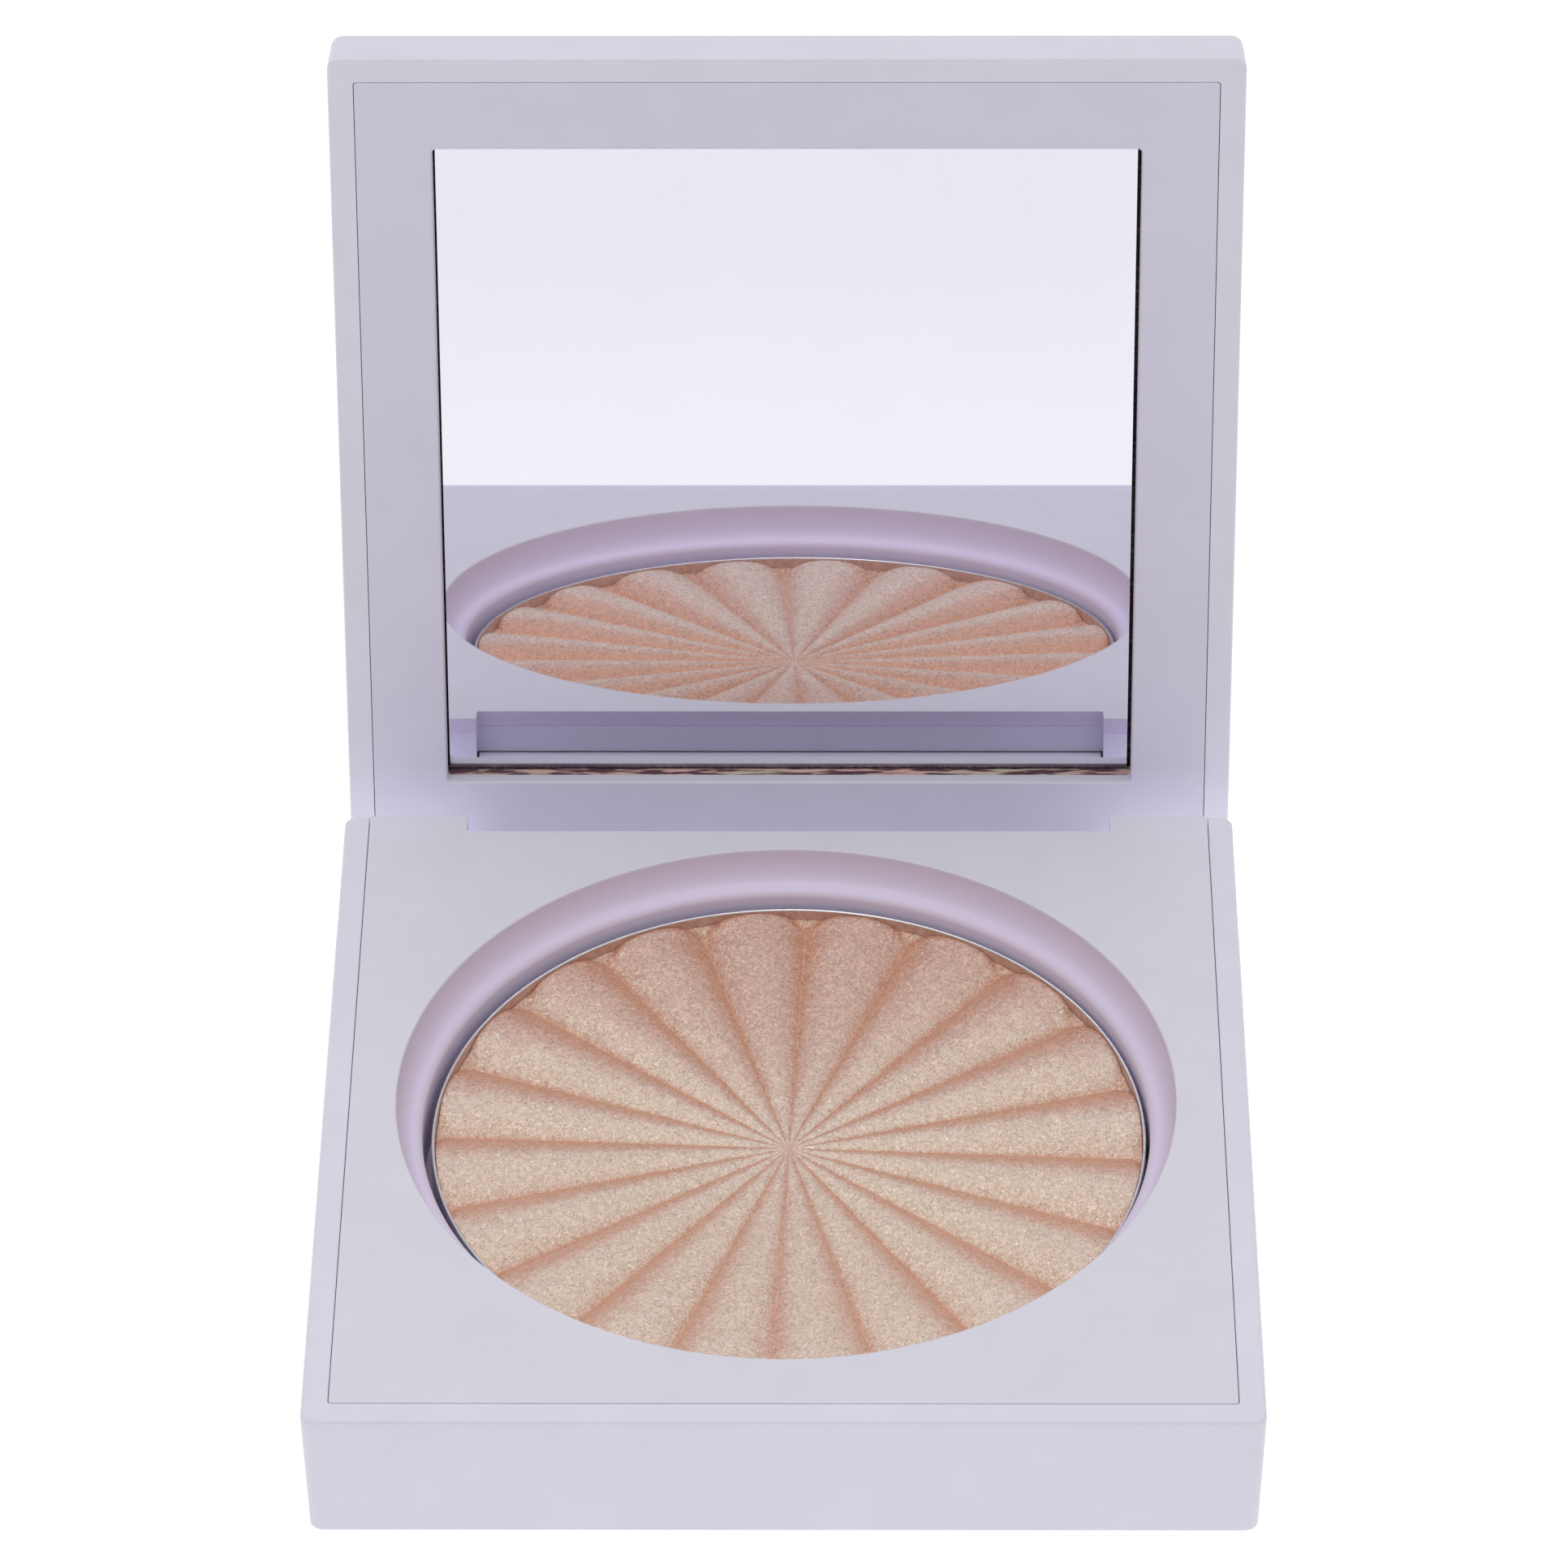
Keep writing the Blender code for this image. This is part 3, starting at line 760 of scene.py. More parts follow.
@dataclass
class Hinge:
    """The barrel hinge between the base and the lid."""

    case: CaseSizes
    axis_inset: float = 1.64 * MM
    axis_to_lid: float = 6.98 * MM
    shut_gap: float = 0.25 * MM
    opening: float = 100.4
    tongue_width: float = 54.6 * MM
    tongue_thickness: float = 1.85 * MM
    barrel_radius: float = 3.0 * MM
    notch_width: float = 55.0 * MM
    notch_depth: float = 2.12 * MM
    pocket_radius: float = 3.12 * MM
    pocket_below_axis: float = 2.2 * MM
    bore_radius: float = 0.85 * MM
    pin_radius: float = 0.6 * MM
    pin_length: float = 12.0 * MM
    pin_middle: float = 27.4 * MM
    pin_chamfer: float = 0.12 * MM
    pin_play: float = 0.4 * MM
    bore_past: float = 1.0 * MM
    pocket_wall: float = 0.75 * MM
    notch_corner: float = 0.25 * MM

    @property
    def y(self) -> float:
        """Y of the axis."""
        return self.case.back - self.axis_inset

    @property
    def z(self) -> float:
        """Z of the axis."""
        return self.case.base_height + self.shut_gap - self.axis_to_lid

    def open_up(self, piece: bpy.types.Object) -> None:
        """Turn a lid piece's mesh from shut, around the axis, to where it stands open."""
        turn = Matrix.Rotation(-math.radians(self.opening), 4, "X")
        piece.data.transform(Matrix.Translation((0, self.y, self.z)) @ turn)

    def pocket(self) -> bmesh.types.BMesh:
        """The pocket for the barrel, and behind it the way for the tongue."""
        case, floor = self.case, self.z - self.pocket_below_axis
        front_y = case.back - self.notch_depth
        roof = math.degrees(math.acos((front_y - self.y) / self.pocket_radius))
        foot = 180 + math.degrees(math.asin(self.pocket_below_axis / self.pocket_radius))
        points = [(case.back + case.past, floor),
                  (case.back + case.past, case.base_height + case.past),
                  (front_y, case.base_height + case.past)]
        points += arc((self.y, self.z), self.pocket_radius, roof, foot, 24)
        return bar_along_x(points, self.notch_width / 2)

    def tongue(self, lid_back: float, root: float) -> bmesh.types.BMesh:
        """The lid's rear wall, carried down to the axis and rolled into a barrel."""
        back = lid_back - 0.02 * MM
        front = lid_back - self.tongue_thickness
        start = math.degrees(math.acos(front / self.barrel_radius))
        points = [(back, root), (front, root)]
        points += arc((0, 0), self.barrel_radius, start, 205, 24)
        points += arc((0, 0), back, 262, 360, 16)
        return bar_along_x(points, self.tongue_width / 2)

    def bore(self, side: int, near: float, far: float, y: float, z: float
             ) -> bmesh.types.BMesh:
        """A hole for one pin, between two distances out from the middle."""
        low, high = sorted((side * near, side * far))
        rod = turned([(0, low), (self.bore_radius, low), (self.bore_radius, high), (0, high)], 32)
        return along_x(rod, y, z)

    def build(self) -> None:
        """Make the two pins, with chamfered ends."""
        steel, chamfer = PIN_STEEL.material(), self.pin_chamfer
        for label, side in (("left", -1), ("right", 1)):
            low = side * self.pin_middle - self.pin_length / 2
            high = low + self.pin_length
            rod = turned([(0, low), (self.pin_radius - chamfer, low),
                          (self.pin_radius, low + chamfer), (self.pin_radius, high - chamfer),
                          (self.pin_radius - chamfer, high), (0, high)], 32)
            pin = make_piece(f"pin_{label}", along_x(rod, self.y, self.z), steel)
            smooth(pin)
            Piece(pin, Body.BASE, "pin_steel", (f"hinge_pin_{label}",)).place()


@dataclass
class PowderWell:
    """The round well in the deck, with its pan and the pressed powder."""

    case: CaseSizes
    from_front: float = 39.4 * MM
    radius: float = 32.03 * MM
    lip_radius: float = 30.0 * MM
    lip_depth: float = 3.0 * MM
    top_edge: float = 0.15 * MM
    lip_edge: float = 0.7 * MM
    cup_wall: float = 0.7 * MM
    cup_bottom: float = 2.0 * MM
    cup_floor: float = 3.0 * MM
    push_hole: float = 4.0 * MM
    pan_shift_x: float = 0.2 * MM
    pan_radius: float = 29.5 * MM
    pan_wall: float = 0.28 * MM
    pan_bottom: float = 3.8 * MM
    pan_rim: float = 7.85 * MM
    pan_corner: float = 0.6 * MM
    steps: int = 192

    @property
    def y(self) -> float:
        """Y of the well's middle."""
        return self.case.front + self.from_front

    @property
    def pan_middle(self) -> tuple[float, float]:
        """X and Y of the pan's middle."""
        return self.pan_shift_x, self.y

    def outside(self, room: float = 0.0, steps: int = 192) -> bmesh.types.BMesh:
        """The outer form of the cup that hangs under the deck.

        Args:
            room: How much larger it is made, to cut the room that the cup needs.
            steps: Sides of the turned body.

        Returns:
            A closed body.
        """
        outer = self.lip_radius + self.cup_wall + room
        flare = self.radius + self.cup_wall + room
        height, plate = self.case.base_height, self.case.plate
        return turned([
            (0, self.cup_bottom - room), (outer, self.cup_bottom - room),
            (outer, height - self.lip_depth - self.cup_wall - room),
            (flare, height - plate - self.case.shoulder),
            (flare, height - plate / 2), (0, height - plate / 2),
        ], steps, (0, self.y))

    def inside(self) -> bmesh.types.BMesh:
        """The room of the well: upright sides, a lip, then a cove up to the deck."""
        height, edge, lip = self.case.base_height, self.top_edge, self.lip_edge
        shelf = height - self.lip_depth
        profile = [(0, self.cup_floor), (self.lip_radius, self.cup_floor)]
        profile += arc((self.lip_radius + lip, shelf - lip), lip, 180, 90, 8)
        wide, tall = self.radius - self.lip_radius - lip, self.lip_depth - edge
        for step in range(1, 17):
            turn = math.radians(90 * (1 - step / 16))
            profile.append((self.lip_radius + lip + wide * math.cos(turn),
                            height - edge - tall * math.sin(turn)))
        profile += arc((self.radius + edge, height - edge), edge, 180, 90, 4)[1:]
        profile += [(self.radius + edge, height + self.case.past), (0, height + self.case.past)]
        return turned(profile, self.steps, (0, self.y))

    def hole(self) -> bmesh.types.BMesh:
        """The hole under the pan, for pushing it out."""
        low, high = self.cup_bottom - self.case.past, self.cup_floor + self.case.past
        return turned([(0, low), (self.push_hole, low), (self.push_hole, high), (0, high)],
                      48, (0, self.y))

    def build(self) -> None:
        """Make the pan and its powder."""
        inner, floor = self.pan_radius - self.pan_wall, self.pan_bottom + self.pan_wall
        rim, corner = self.pan_wall / 2, self.pan_corner
        profile = [(0, self.pan_bottom), (self.pan_radius - corner, self.pan_bottom)]
        profile += arc((self.pan_radius - corner, self.pan_bottom + corner), corner,
                       -90, 0, 6)[1:]
        profile += arc((self.pan_radius - rim, self.pan_rim - rim), rim, 0, 180, 8)
        profile += [(inner, floor), (0, floor)]
        pan = make_piece("tin_pan", turned(profile, self.steps, self.pan_middle),
                         PAN_TIN.material(), DUSTY_TIN.material())
        middle = Vector((*self.pan_middle, 0.0))
        for face in pan.data.polygons:
            reach = (face.center - middle).xy.length
            dusty = reach < inner + CRISP and face.center.z > self.pan_bottom
            face.material_index = 1 if dusty else 0
        smooth(pan)
        Piece(pan, Body.BASE, "pan_tin", ("powder_pan",)).place()
        PowderCake(self).build()


@dataclass
class PowderCake:
    """The pressed sunburst of pillowed petals."""

    well: PowderWell
    petals: int = 20
    turn: float = math.radians(-2.7)
    valley: float = 6.35 * MM
    rise: float = 1.38 * MM
    full_radius: float = 25.0 * MM
    end_length: float = 1.0 * MM
    end_past: float = 0.55 * MM
    scallop: float = 1.75 * MM
    clearance: float = 0.06 * MM
    rim_bank: float = 0.5 * MM
    bank_length: float = 2.0 * MM
    crumb: float = 0.03 * MM
    full_lean: float = 0.55
    rings: int = 124
    across_petal: int = 24

    @property
    def radius(self) -> float:
        """Radius of the cake."""
        return self.well.pan_radius - self.well.pan_wall - self.clearance

    def crown(self, radius: float, angle: float) -> float:
        """How far up its petal a point is, from 0 in a valley to 1 on a ridge."""
        across = ((angle - self.turn) / math.tau * self.petals) % 1.0
        from_ridge = abs(2 * across - 1)
        end = self.radius + self.end_past - self.scallop * from_ridge ** 3
        inward = max(0.0, min(1.0, (end - radius) / self.end_length))
        return (1 - from_ridge ** 2) ** 0.8 * math.sqrt(1 - (1 - inward) ** 2)

    def bank(self, radius: float) -> float:
        """How far the valleys themselves climb towards the rim."""
        past = radius - self.radius + self.bank_length
        return self.rim_bank * max(0.0, past / self.bank_length) ** 2

    def height(self, radius: float, angle: float) -> float:
        """Height of the surface over the valleys."""
        bank = self.bank(radius)
        lift = (self.rise - bank) * min(1.0, radius / self.full_radius)
        return bank + lift * self.crown(radius, angle)

    def slope_to_front(self, radius: float, angle: float) -> float:
        """How much the surface leans to the front here, from -1 to 1."""
        step = 0.05 * MM
        x, y = radius * math.cos(angle), radius * math.sin(angle)
        ahead = self.height(math.hypot(x, y + step), math.atan2(y + step, x))
        behind = self.height(math.hypot(x, y - step), math.atan2(y - step, x))
        return max(-1.0, min(1.0, (ahead - behind) / (2 * step) / self.full_lean))

    def build(self) -> None:
        """Make the cake, with the numbers its finish needs at each point."""
        body = bmesh.new()
        marks = {name: body.verts.layers.float.new(name) for name in ("relief", "facing", "rim")}
        around = self.petals * self.across_petal
        centre_x, centre_y = self.well.pan_middle
        low = self.well.pan_bottom + self.well.pan_wall + self.well.case.gap
        rings = []
        for number in range(1, self.rings + 1):
            radius = self.radius * number / self.rings
            ring = []
            for step in range(around):
                angle = self.turn + math.tau * step / around
                x, y = centre_x + radius * math.cos(angle), centre_y + radius * math.sin(angle)
                crown = self.crown(radius, angle)
                crumbs = (noise.noise(Vector((x, y, 0.0)) * 2600) * 0.5
                          + noise.noise(Vector((x, y, 0.01)) * 900) * 0.5)
                lift = self.crumb * crumbs * min(1.0, crown * 4 + 0.2)
                point = body.verts.new((x, y, self.valley + self.height(radius, angle) + lift))
                point[marks["relief"]] = crown
                # The finish paints sheen and shade from this lean: cream where it faces the
                # front, salmon where it faces the back.
                point[marks["facing"]] = self.slope_to_front(radius, angle)
                point[marks["rim"]] = radius / self.radius
                ring.append(point)
            rings.append(ring)
        foot = [body.verts.new((v.co.x, v.co.y, low)) for v in rings[-1]]
        top = body.verts.new((centre_x, centre_y, self.valley))
        base = body.verts.new((centre_x, centre_y, low))
        for i in range(around):
            j = (i + 1) % around
            body.faces.new((top, rings[0][i], rings[0][j]))
            for inner, outer in zip(rings, rings[1:]):
                body.faces.new((inner[i], outer[i], outer[j], inner[j]))
            body.faces.new((rings[-1][i], foot[i], foot[j], rings[-1][j]))
            body.faces.new((base, foot[j], foot[i]))
        cake = make_piece("powder_cake", body, ShimmerPowder().material())
        cake.data.shade_smooth()
        cake.data.set_sharp_from_angle(angle=math.radians(50))
        Piece(cake, Body.BASE, "shimmer_powder", ("pressed_powder",)).place()


@dataclass
class Base:
    """The lower half of the case: its tray and the deck that lies in it."""

    case: CaseSizes
    hinge: Hinge
    well: PowderWell
    floor: float = 1.5 * MM
    draft: float = 0.33 * MM
    floor_corner: float = 0.8 * MM
    mouth_chamfer: float = 0.06 * MM
    deck_round: float = 0.07 * MM
    seat_radius: float = 3.3 * MM
    seat_below: float = 0.35 * MM
    seat_root: float = 0.5 * MM
    magnet_height: float = 2.0 * MM

    def magnet_seat(self, side: int) -> bmesh.types.BMesh:
        """A post on the floor with a shallow cup on top for one magnet."""
        case = self.case
        top = case.base_height - case.plate - self.seat_below
        bed = case.base_height - case.plate - 3 * case.gap - self.magnet_height
        cup, buried = case.magnet_radius + case.gap, self.floor - self.seat_root
        return turned([
            (0, buried), (self.seat_radius, buried), (self.seat_radius, top),
            (cup, top), (cup, bed), (0, bed),
        ], 40, (side * case.magnet_x, case.front + case.magnet_from_front))

    def build_tray(self, finish: bpy.types.Material) -> None:
        """Make the tray: floor, walls, rear block and magnet posts."""
        case, hinge = self.case, self.hinge
        inner = case.width / 2 - case.wall
        seat = case.base_height - case.plate - case.bed
        rear = hinge.y - hinge.pocket_radius - hinge.pocket_wall
        tray = make_piece("case_tray", case.block(
            0.0, case.base_height, self.draft, 0.0, case.edge_round, case.edge_round), finish)
        helpers = [
            (Cut.AWAY, block(-inner, inner, case.front + case.wall, rear, self.floor,
                             seat + case.past, self.floor_corner)),
            (Cut.AWAY, block(-inner, inner, case.front + case.wall, case.back + case.past,
                             seat, case.base_height, case.plate_corner,
                             self.mouth_chamfer)),
            (Cut.AWAY, self.well.outside(case.gap, 96)),
            (Cut.AWAY, hinge.pocket()),
        ]
        for side in (-1, 1):
            helpers.append((Cut.AWAY, hinge.bore(
                side, hinge.notch_width / 2 - hinge.bore_past,
                hinge.pin_middle + hinge.pin_length / 2 + hinge.pin_play, hinge.y, hinge.z)))
            helpers.append((Cut.ONTO, self.magnet_seat(side)))
        combine(tray, helpers)
        smooth(tray)
        Piece(tray, Body.BASE, "case_plastic", ("base_shell",)).place()

    def build_deck(self, finish: bpy.types.Material) -> None:
        """Make the deck plate with its cup, notch and well."""
        case, hinge = self.case, self.hinge
        half = case.width / 2 - case.wall - case.seam
        low = case.base_height - case.plate
        deck = make_piece("deck_plate", softened_plate(
            -half, half, case.front + case.wall + case.seam, case.back, low,
            case.base_height, case.plate_corner, HIDDEN_ROUND, self.deck_round), finish)
        reach = hinge.notch_width / 2
        notch = softened_plate(
            -reach, reach, case.back - hinge.notch_depth, case.back + case.past,
            low - case.past, case.base_height + case.past, hinge.notch_corner,
            CRISP, CRISP)
        combine(deck, [(Cut.AWAY, notch), (Cut.ONTO, self.well.outside()),
                       (Cut.AWAY, self.well.inside()), (Cut.AWAY, self.well.hole())])
        smooth(deck)
        Piece(deck, Body.BASE, "deck_plastic", ("base_insert",)).place()

    def build(self) -> None:
        """Make the tray and the deck."""
        self.build_tray(CASE_PLASTIC.material())
        self.build_deck(DECK_PLASTIC.material())


@dataclass
class Lid:
    """The upper half of the case: its shell, the mirror's frame and the mirror."""

    case: CaseSizes
    hinge: Hinge
    thickness: float = 5.38 * MM
    floor_depth: float = 3.4 * MM
    draft: float = 0.1 * MM
    inner_round: float = 0.15 * MM
    opening_half: float = 29.5 * MM
    opening_front: float = 8.2 * MM
    opening_back: float = 8.3 * MM
    opening_round: float = 0.22 * MM
    frame_round: float = 0.07 * MM
    gaps: dict[str, float] = field(default_factory=lambda: {
        "left": 0.12 * MM, "right": 0.27 * MM, "front": 0.15 * MM, "back": 0.15 * MM})
    pane_depth: float = 2.22 * MM
    pane_thickness: float = 0.25 * MM
    film: float = 0.02 * MM
    paint: float = 0.05 * MM
    film_foot: float = 0.01 * MM
    bead_toe: float = 0.10 * MM
    bead_crest: float = 0.50 * MM
    bead_width: float = 0.75 * MM
    bead_air: float = 0.04 * MM
    pad_depth: float = 3.02 * MM
    pad: float = 0.25 * MM
    pad_spare: float = 0.3 * MM
    pad_corner: float = 0.4 * MM
    pad_round: float = 0.05 * MM
    air: float = 0.003 * MM
    tongue_root: float = 1.0 * MM

    @property
    def front(self) -> float:
        """Y of the lid's front, from the hinge axis."""
        return self.case.front - self.hinge.y

    @property
    def back(self) -> float:
        """Y of the lid's back, from the hinge axis."""
        return self.case.back - self.hinge.y

    @property
    def inner(self) -> float:
        """Z of the lid's inner face, from the hinge axis."""
        return self.hinge.axis_to_lid

    def finish_piece(self, piece: bpy.types.Object, slot: str, *nodes: str) -> None:
        """Turn a piece open with the lid and place it."""
        self.hinge.open_up(piece)
        Piece(piece, Body.LID, slot, nodes).place()

    def build_shell(self, finish: bpy.types.Material) -> None:
        """Make the lid's shell with its hinge tongue."""
        case, hinge = self.case, self.hinge
        shell = make_piece("lid_case", case.block(
            self.inner, self.inner + self.thickness, 0.0, self.draft, self.inner_round,
            case.edge_round, (self.front + self.back) / 2), finish)
        half = case.width / 2 - case.wall
        helpers = [
            (Cut.AWAY, softened_plate(
                -half, half, self.front + case.wall, self.back - case.wall,
                self.inner - case.past, self.inner + self.floor_depth, case.plate_corner,
                CRISP, CRISP)),
            (Cut.ONTO, hinge.tongue(self.back, self.inner + self.tongue_root)),
        ]
        for side in (-1, 1):
            helpers.append((Cut.AWAY, hinge.bore(
                side, hinge.pin_middle - hinge.pin_length / 2 - hinge.pin_play,
                hinge.tongue_width / 2 + hinge.bore_past, 0, 0)))
        combine(shell, helpers)
        smooth(shell)
        self.finish_piece(shell, "case_plastic", "lid_shell")

    def build_frame(self, finish: bpy.types.Material) -> None:
        """Make the plate round the mirror, its opening rounded over at the mouth."""
        case = self.case
        half = case.width / 2 - case.wall - case.seam
        plate = make_piece("mirror_frame", softened_plate(
            -half, half, self.front + case.wall + case.seam,
            self.back - case.wall - case.seam, self.inner, self.inner + case.plate,
            case.plate_corner, self.frame_round, HIDDEN_ROUND), finish)
        mouth = self.opening_round
        levels = [(mouth, self.inner - case.past)]
        levels += [(mouth * (1 - math.sin(math.radians(t))),
                    self.inner + mouth * (1 - math.cos(math.radians(t))))
                   for t in (0, 15, 30, 45, 60, 75, 90)]
        levels.append((0.0, self.inner + case.plate + case.past))
        opening = loft([(rounded_outline(
            -self.opening_half - out, self.opening_half + out,
            self.front + self.opening_front - out, self.back - self.opening_back + out,
            0.4 * MM + out), z) for out, z in levels])
        combine(plate, [(Cut.AWAY, opening)])
        smooth(plate)
        self.finish_piece(plate, "frame_plastic", "lid_frame")

    def sheet(self, low: float, high: float, ragged: float = 0.0, inset: float = 0.0,
              foot: float = 0.0) -> bmesh.types.BMesh:
        """A sheet of the mirror's size, whose rear edge may be ragged.

        Args:
            low, high: Its two faces, from the hinge axis.
            ragged: How far the cut rear edge wanders.
            inset: How much smaller than the mirror it is, all round.
            foot: How much sooner it ends at the hinge side.

        Returns:
            A closed body.
        """
        left = -self.opening_half + self.gaps["left"] + inset
        right = self.opening_half - self.gaps["right"] - inset
        front = self.front + self.opening_front + self.gaps["front"] + inset
        back = self.back - self.opening_back - self.gaps["back"] - inset - foot
        steps = 420
        chance = random.Random(7)
        lower, upper = [(right, front)], [(right, front)]
        for step in range(steps + 1):
            x = right + (left - right) * step / steps
            chip = ragged * (noise.noise(Vector((x * 3000, 0, 0))) * 0.5
                             + noise.noise(Vector((x * 9000, 3, 0))) * 0.35)
            chip -= ragged * (chance.random() ** 8) * 0.8
            lower.append((x, back + chip - ragged * 0.5))
            upper.append((x, back + chip * 0.3))
        lower.append((left, front))
        upper.append((left, front))
        middle = low + (high - low) * 0.08
        return loft([(lower, low), (upper, middle), (upper, high)])

    def build_mirror(self) -> None:
        """Make the pane, its silver and paint, the bead at its foot and the pad behind."""
        low = self.inner + self.pane_depth
        high = low + self.pane_thickness
        pane = make_piece("mirror_pane", self.sheet(low, high, 0.07 * MM),
                          ClearGlass().material(), CutEdge().material())
        for face in pane.data.polygons:
            face.material_index = 0 if abs(face.normal.z) > 0.9 else 1
        self.finish_piece(pane, "mirror_glass", "mirror_glass")
        air = self.air
        film = make_piece("mirror_silver", self.sheet(high + air, high + air + self.film,
                                                      0.09 * MM, 0.01 * MM, self.film_foot),
                         SilverFilm().material())
        self.finish_piece(film, "mirror_glass")
        start = high + 2 * air + self.film
        paint = make_piece("mirror_backing", self.sheet(start, start + self.paint, 0.03 * MM),
                           PLUM_BACKING.material())
        self.finish_piece(paint, "glue_film")
        bed, spare = self.inner + self.pad_depth, self.pad_spare
        foot, under = self.back - self.opening_back, self.inner + self.case.plate + self.bead_air
        bead = make_piece("mirror_glue_bead", bar_along_x([
            (foot - self.bead_toe, bed - self.bead_air), (foot - self.bead_toe, low),
            (foot + self.bead_crest, under), (foot + self.bead_width, under),
            (foot + self.bead_width, bed - self.bead_air)], self.opening_half + spare),
            StreakedGlue().material())
        smooth(bead)
        self.finish_piece(bead, "glue_film")
        pad = make_piece("mirror_pad", softened_plate(
            -self.opening_half - spare, self.opening_half + spare,
            self.front + self.opening_front - spare, self.back - self.opening_back + spare,
            bed, bed + self.pad, self.pad_corner, self.pad_round, self.pad_round),
            CutEdge().material())
        smooth(pad)
        self.finish_piece(pad, "glue_film", "mirror_adhesive")

    def build(self) -> None:
        """Make the shell, the frame and the mirror."""
        self.build_shell(CASE_PLASTIC.material())
        self.build_frame(FRAME_PLASTIC.material())
        self.build_mirror()


@dataclass
class Closure:
    """The magnets that hold the lid shut, and the films of glue."""

    case: CaseSizes
    lid: Lid
    base_height: float = 2.0 * MM
    lid_height: float = 1.6 * MM
    chamfer: float = 0.15 * MM

    def disc(self, x: float, y: float, low: float, high: float) -> bmesh.types.BMesh:
        """A disc with chamfered rims."""
        radius, chamfer = self.case.magnet_radius, self.chamfer
        return turned([
            (0, low), (radius - chamfer, low), (radius, low + chamfer),
            (radius, high - chamfer), (radius - chamfer, high), (0, high)], 40, (x, y))

    def build(self) -> None:
        """Make the four magnets and dress the ring of glue under the pan."""
        case, nickel = self.case, MAGNET_NICKEL.material()
        y = case.front + case.magnet_from_front
        top = case.base_height - case.plate - 2 * case.gap
        low = self.lid.inner + case.plate + case.gap
        for label, side in (("left", -1), ("right", 1)):
            x = side * case.magnet_x
            lower = make_piece(f"tray_magnet_{label}", self.disc(
                x, y, top - self.base_height, top), nickel)
            smooth(lower)
            Piece(lower, Body.BASE, "magnet_nickel", (f"base_magnet_{label}",)).place()
            upper = make_piece(f"cover_magnet_{label}", self.disc(
                x, y - self.lid.hinge.y, low, low + self.lid_height), nickel)
            smooth(upper)
            self.lid.finish_piece(upper, "magnet_nickel", f"lid_magnet_{label}")
        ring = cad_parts["pan_adhesive"]
        ring.data.materials.clear()
        ring.data.materials.append(GLUE.material())
        log.info("%s is dressed in %s", ring.name, GLUE.name)


# ---------------------------------------------------------------- the studio


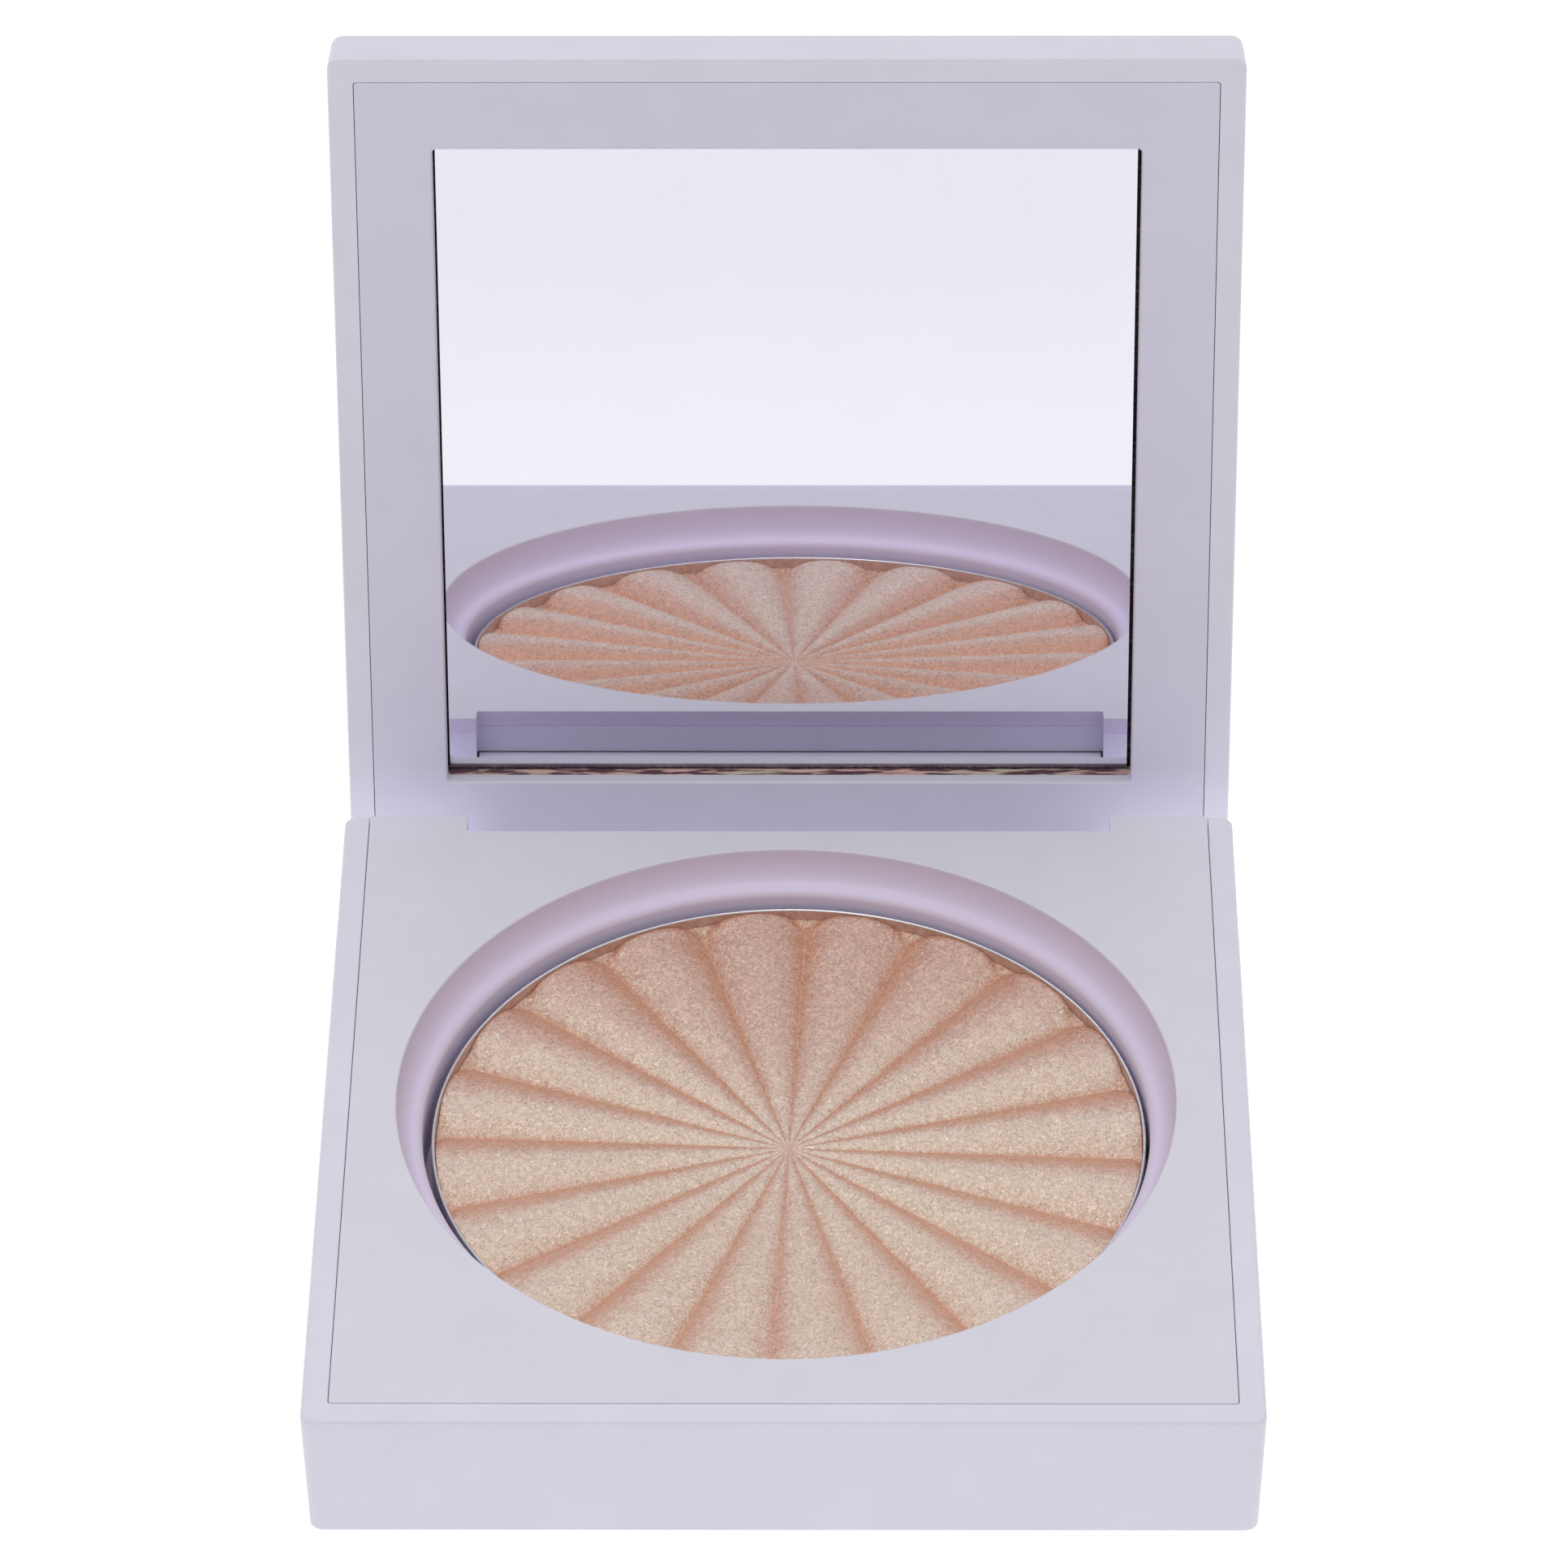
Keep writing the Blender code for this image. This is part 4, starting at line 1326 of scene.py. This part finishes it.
@dataclass
class Studio:
    """A pale floor, plain soft light all round and the camera."""

    floor_half: float = 4.0
    floor_colour: Colour = (0.12, 0.12, 0.12)
    glow_far: float = 0.84
    glow_ahead: float = 0.91
    glow_near: float = 0.95
    glow_behind: float = 0.55
    low_sky: float = 0.17
    high_sky: float = 0.94
    back_sky: float = 0.24
    box_size: float = 0.30
    box_power: float = 0.55
    box_place: tuple[float, float, float] = (-0.08, -0.12, 0.68)
    lens: float = 189.69
    camera_place: tuple[float, float, float] = (4.83 * MM, -514.02 * MM, 455.31 * MM)
    pitch_down: float = math.radians(38.53)
    yaw: float = math.radians(-0.54)
    roll: float = math.radians(0.32)

    def lay_floor(self) -> None:
        """Lay a plain pale floor that glows softly, as a light table does."""
        body = bmesh.new()
        half = self.floor_half
        body.faces.new([body.verts.new((x, y, -0.02 * MM)) for x, y in (
            (-half, -half), (half, -half), (half, half), (-half, half))])
        recipe = Recipe("pale_floor", self.floor_colour, 0.9)
        recipe.set("Specular IOR Level", 0.0)
        recipe.set("Emission Color", (1.0, 1.0, 1.0, 1.0))
        y = recipe.add("ShaderNodeSeparateXYZ", {0: recipe.place}).outputs["Y"]
        ahead = recipe.stretch(y, -0.20, -0.075, self.glow_far, self.glow_ahead)
        near = recipe.stretch(y, -0.085, -0.042, 0.0, self.glow_near - self.glow_ahead)
        behind = recipe.stretch(y, 0.036, 0.038, 0.0, self.glow_behind)
        behind = recipe.sum("MULTIPLY", behind, recipe.stretch(y, 0.050, 0.060, 1.0, 0.0))
        recipe.drive("Emission Strength", recipe.sum(
            "ADD", recipe.sum("ADD", ahead, near), behind))
        make_piece("pale_floor", body, recipe.material)

    def light_room(self) -> None:
        """Light the room evenly, brighter overhead than near the floor."""
        world = bpy.data.worlds.new("soft_room")
        bpy.context.scene.world = world
        world.use_nodes = True
        nodes, links = world.node_tree.nodes, world.node_tree.links
        where = nodes.new("ShaderNodeTexCoord")
        parts = nodes.new("ShaderNodeSeparateXYZ")
        rise = nodes.new("ShaderNodeMapRange")
        tilt = nodes.new("ShaderNodeMath")
        glow = nodes.new("ShaderNodeMath")
        rise.inputs["To Min"].default_value = self.low_sky
        rise.inputs["To Max"].default_value = self.high_sky
        tilt.operation, glow.operation = "MULTIPLY_ADD", "MULTIPLY"
        tilt.inputs[1].default_value, tilt.inputs[2].default_value = self.back_sky, 1.0
        links.new(where.outputs["Generated"], parts.inputs[0])
        links.new(parts.outputs["Z"], rise.inputs["Value"])
        links.new(parts.outputs["Y"], tilt.inputs[0])
        links.new(rise.outputs[0], glow.inputs[0])
        links.new(tilt.outputs[0], glow.inputs[1])
        links.new(glow.outputs[0], nodes["Background"].inputs["Strength"])
        nodes["Background"].inputs["Color"].default_value = (1.0, 1.0, 1.0, 1.0)
        data = bpy.data.lights.new("soft_box", "AREA")
        data.size, data.energy = self.box_size, self.box_power
        box = bpy.data.objects.new("soft_box", data)
        box.location = self.box_place
        box.rotation_euler = Vector(self.box_place).to_track_quat("Z", "Y").to_euler()
        box.visible_camera = False
        bpy.context.scene.collection.objects.link(box)

    def set_camera(self) -> None:
        """Stand the camera in front of the compact, looking down at it."""
        data = bpy.data.cameras.new("camera")
        data.lens, data.sensor_width = self.lens, 36.0
        data.clip_start, data.clip_end = 0.01, 50.0
        camera = bpy.data.objects.new("camera", data)
        bpy.context.scene.collection.objects.link(camera)
        ahead = Vector((math.sin(self.yaw) * math.cos(self.pitch_down),
                        math.cos(self.yaw) * math.cos(self.pitch_down),
                        -math.sin(self.pitch_down)))
        right = Vector((math.cos(self.yaw), -math.sin(self.yaw), 0.0))
        down = ahead.cross(right)
        across = math.cos(self.roll) * right + math.sin(self.roll) * down
        drop = -math.sin(self.roll) * right + math.cos(self.roll) * down
        turn = Matrix((across, -drop, -ahead)).transposed().to_4x4()
        camera.matrix_world = Matrix.Translation(self.camera_place) @ turn
        bpy.context.scene.camera = camera

    def build(self) -> None:
        """Set up the floor, the light, the camera and plain development."""
        self.set_camera()
        self.lay_floor()
        self.light_room()
        bpy.context.scene.view_settings.view_transform = "Standard"
        bpy.context.scene.view_settings.look = "None"


def main() -> None:
    """Build the studio and the compact, in order."""
    logging.basicConfig(level=logging.INFO, format="%(name)s: %(message)s")
    case = CaseSizes()
    hinge = Hinge(case)
    well = PowderWell(case)
    lid = Lid(case, hinge)
    Studio().build()
    for part in (Base(case, hinge, well), well, lid, hinge, Closure(case, lid)):
        part.build()
        log.info("%s is done", type(part).__name__)


if __name__ == "__main__":
    main()
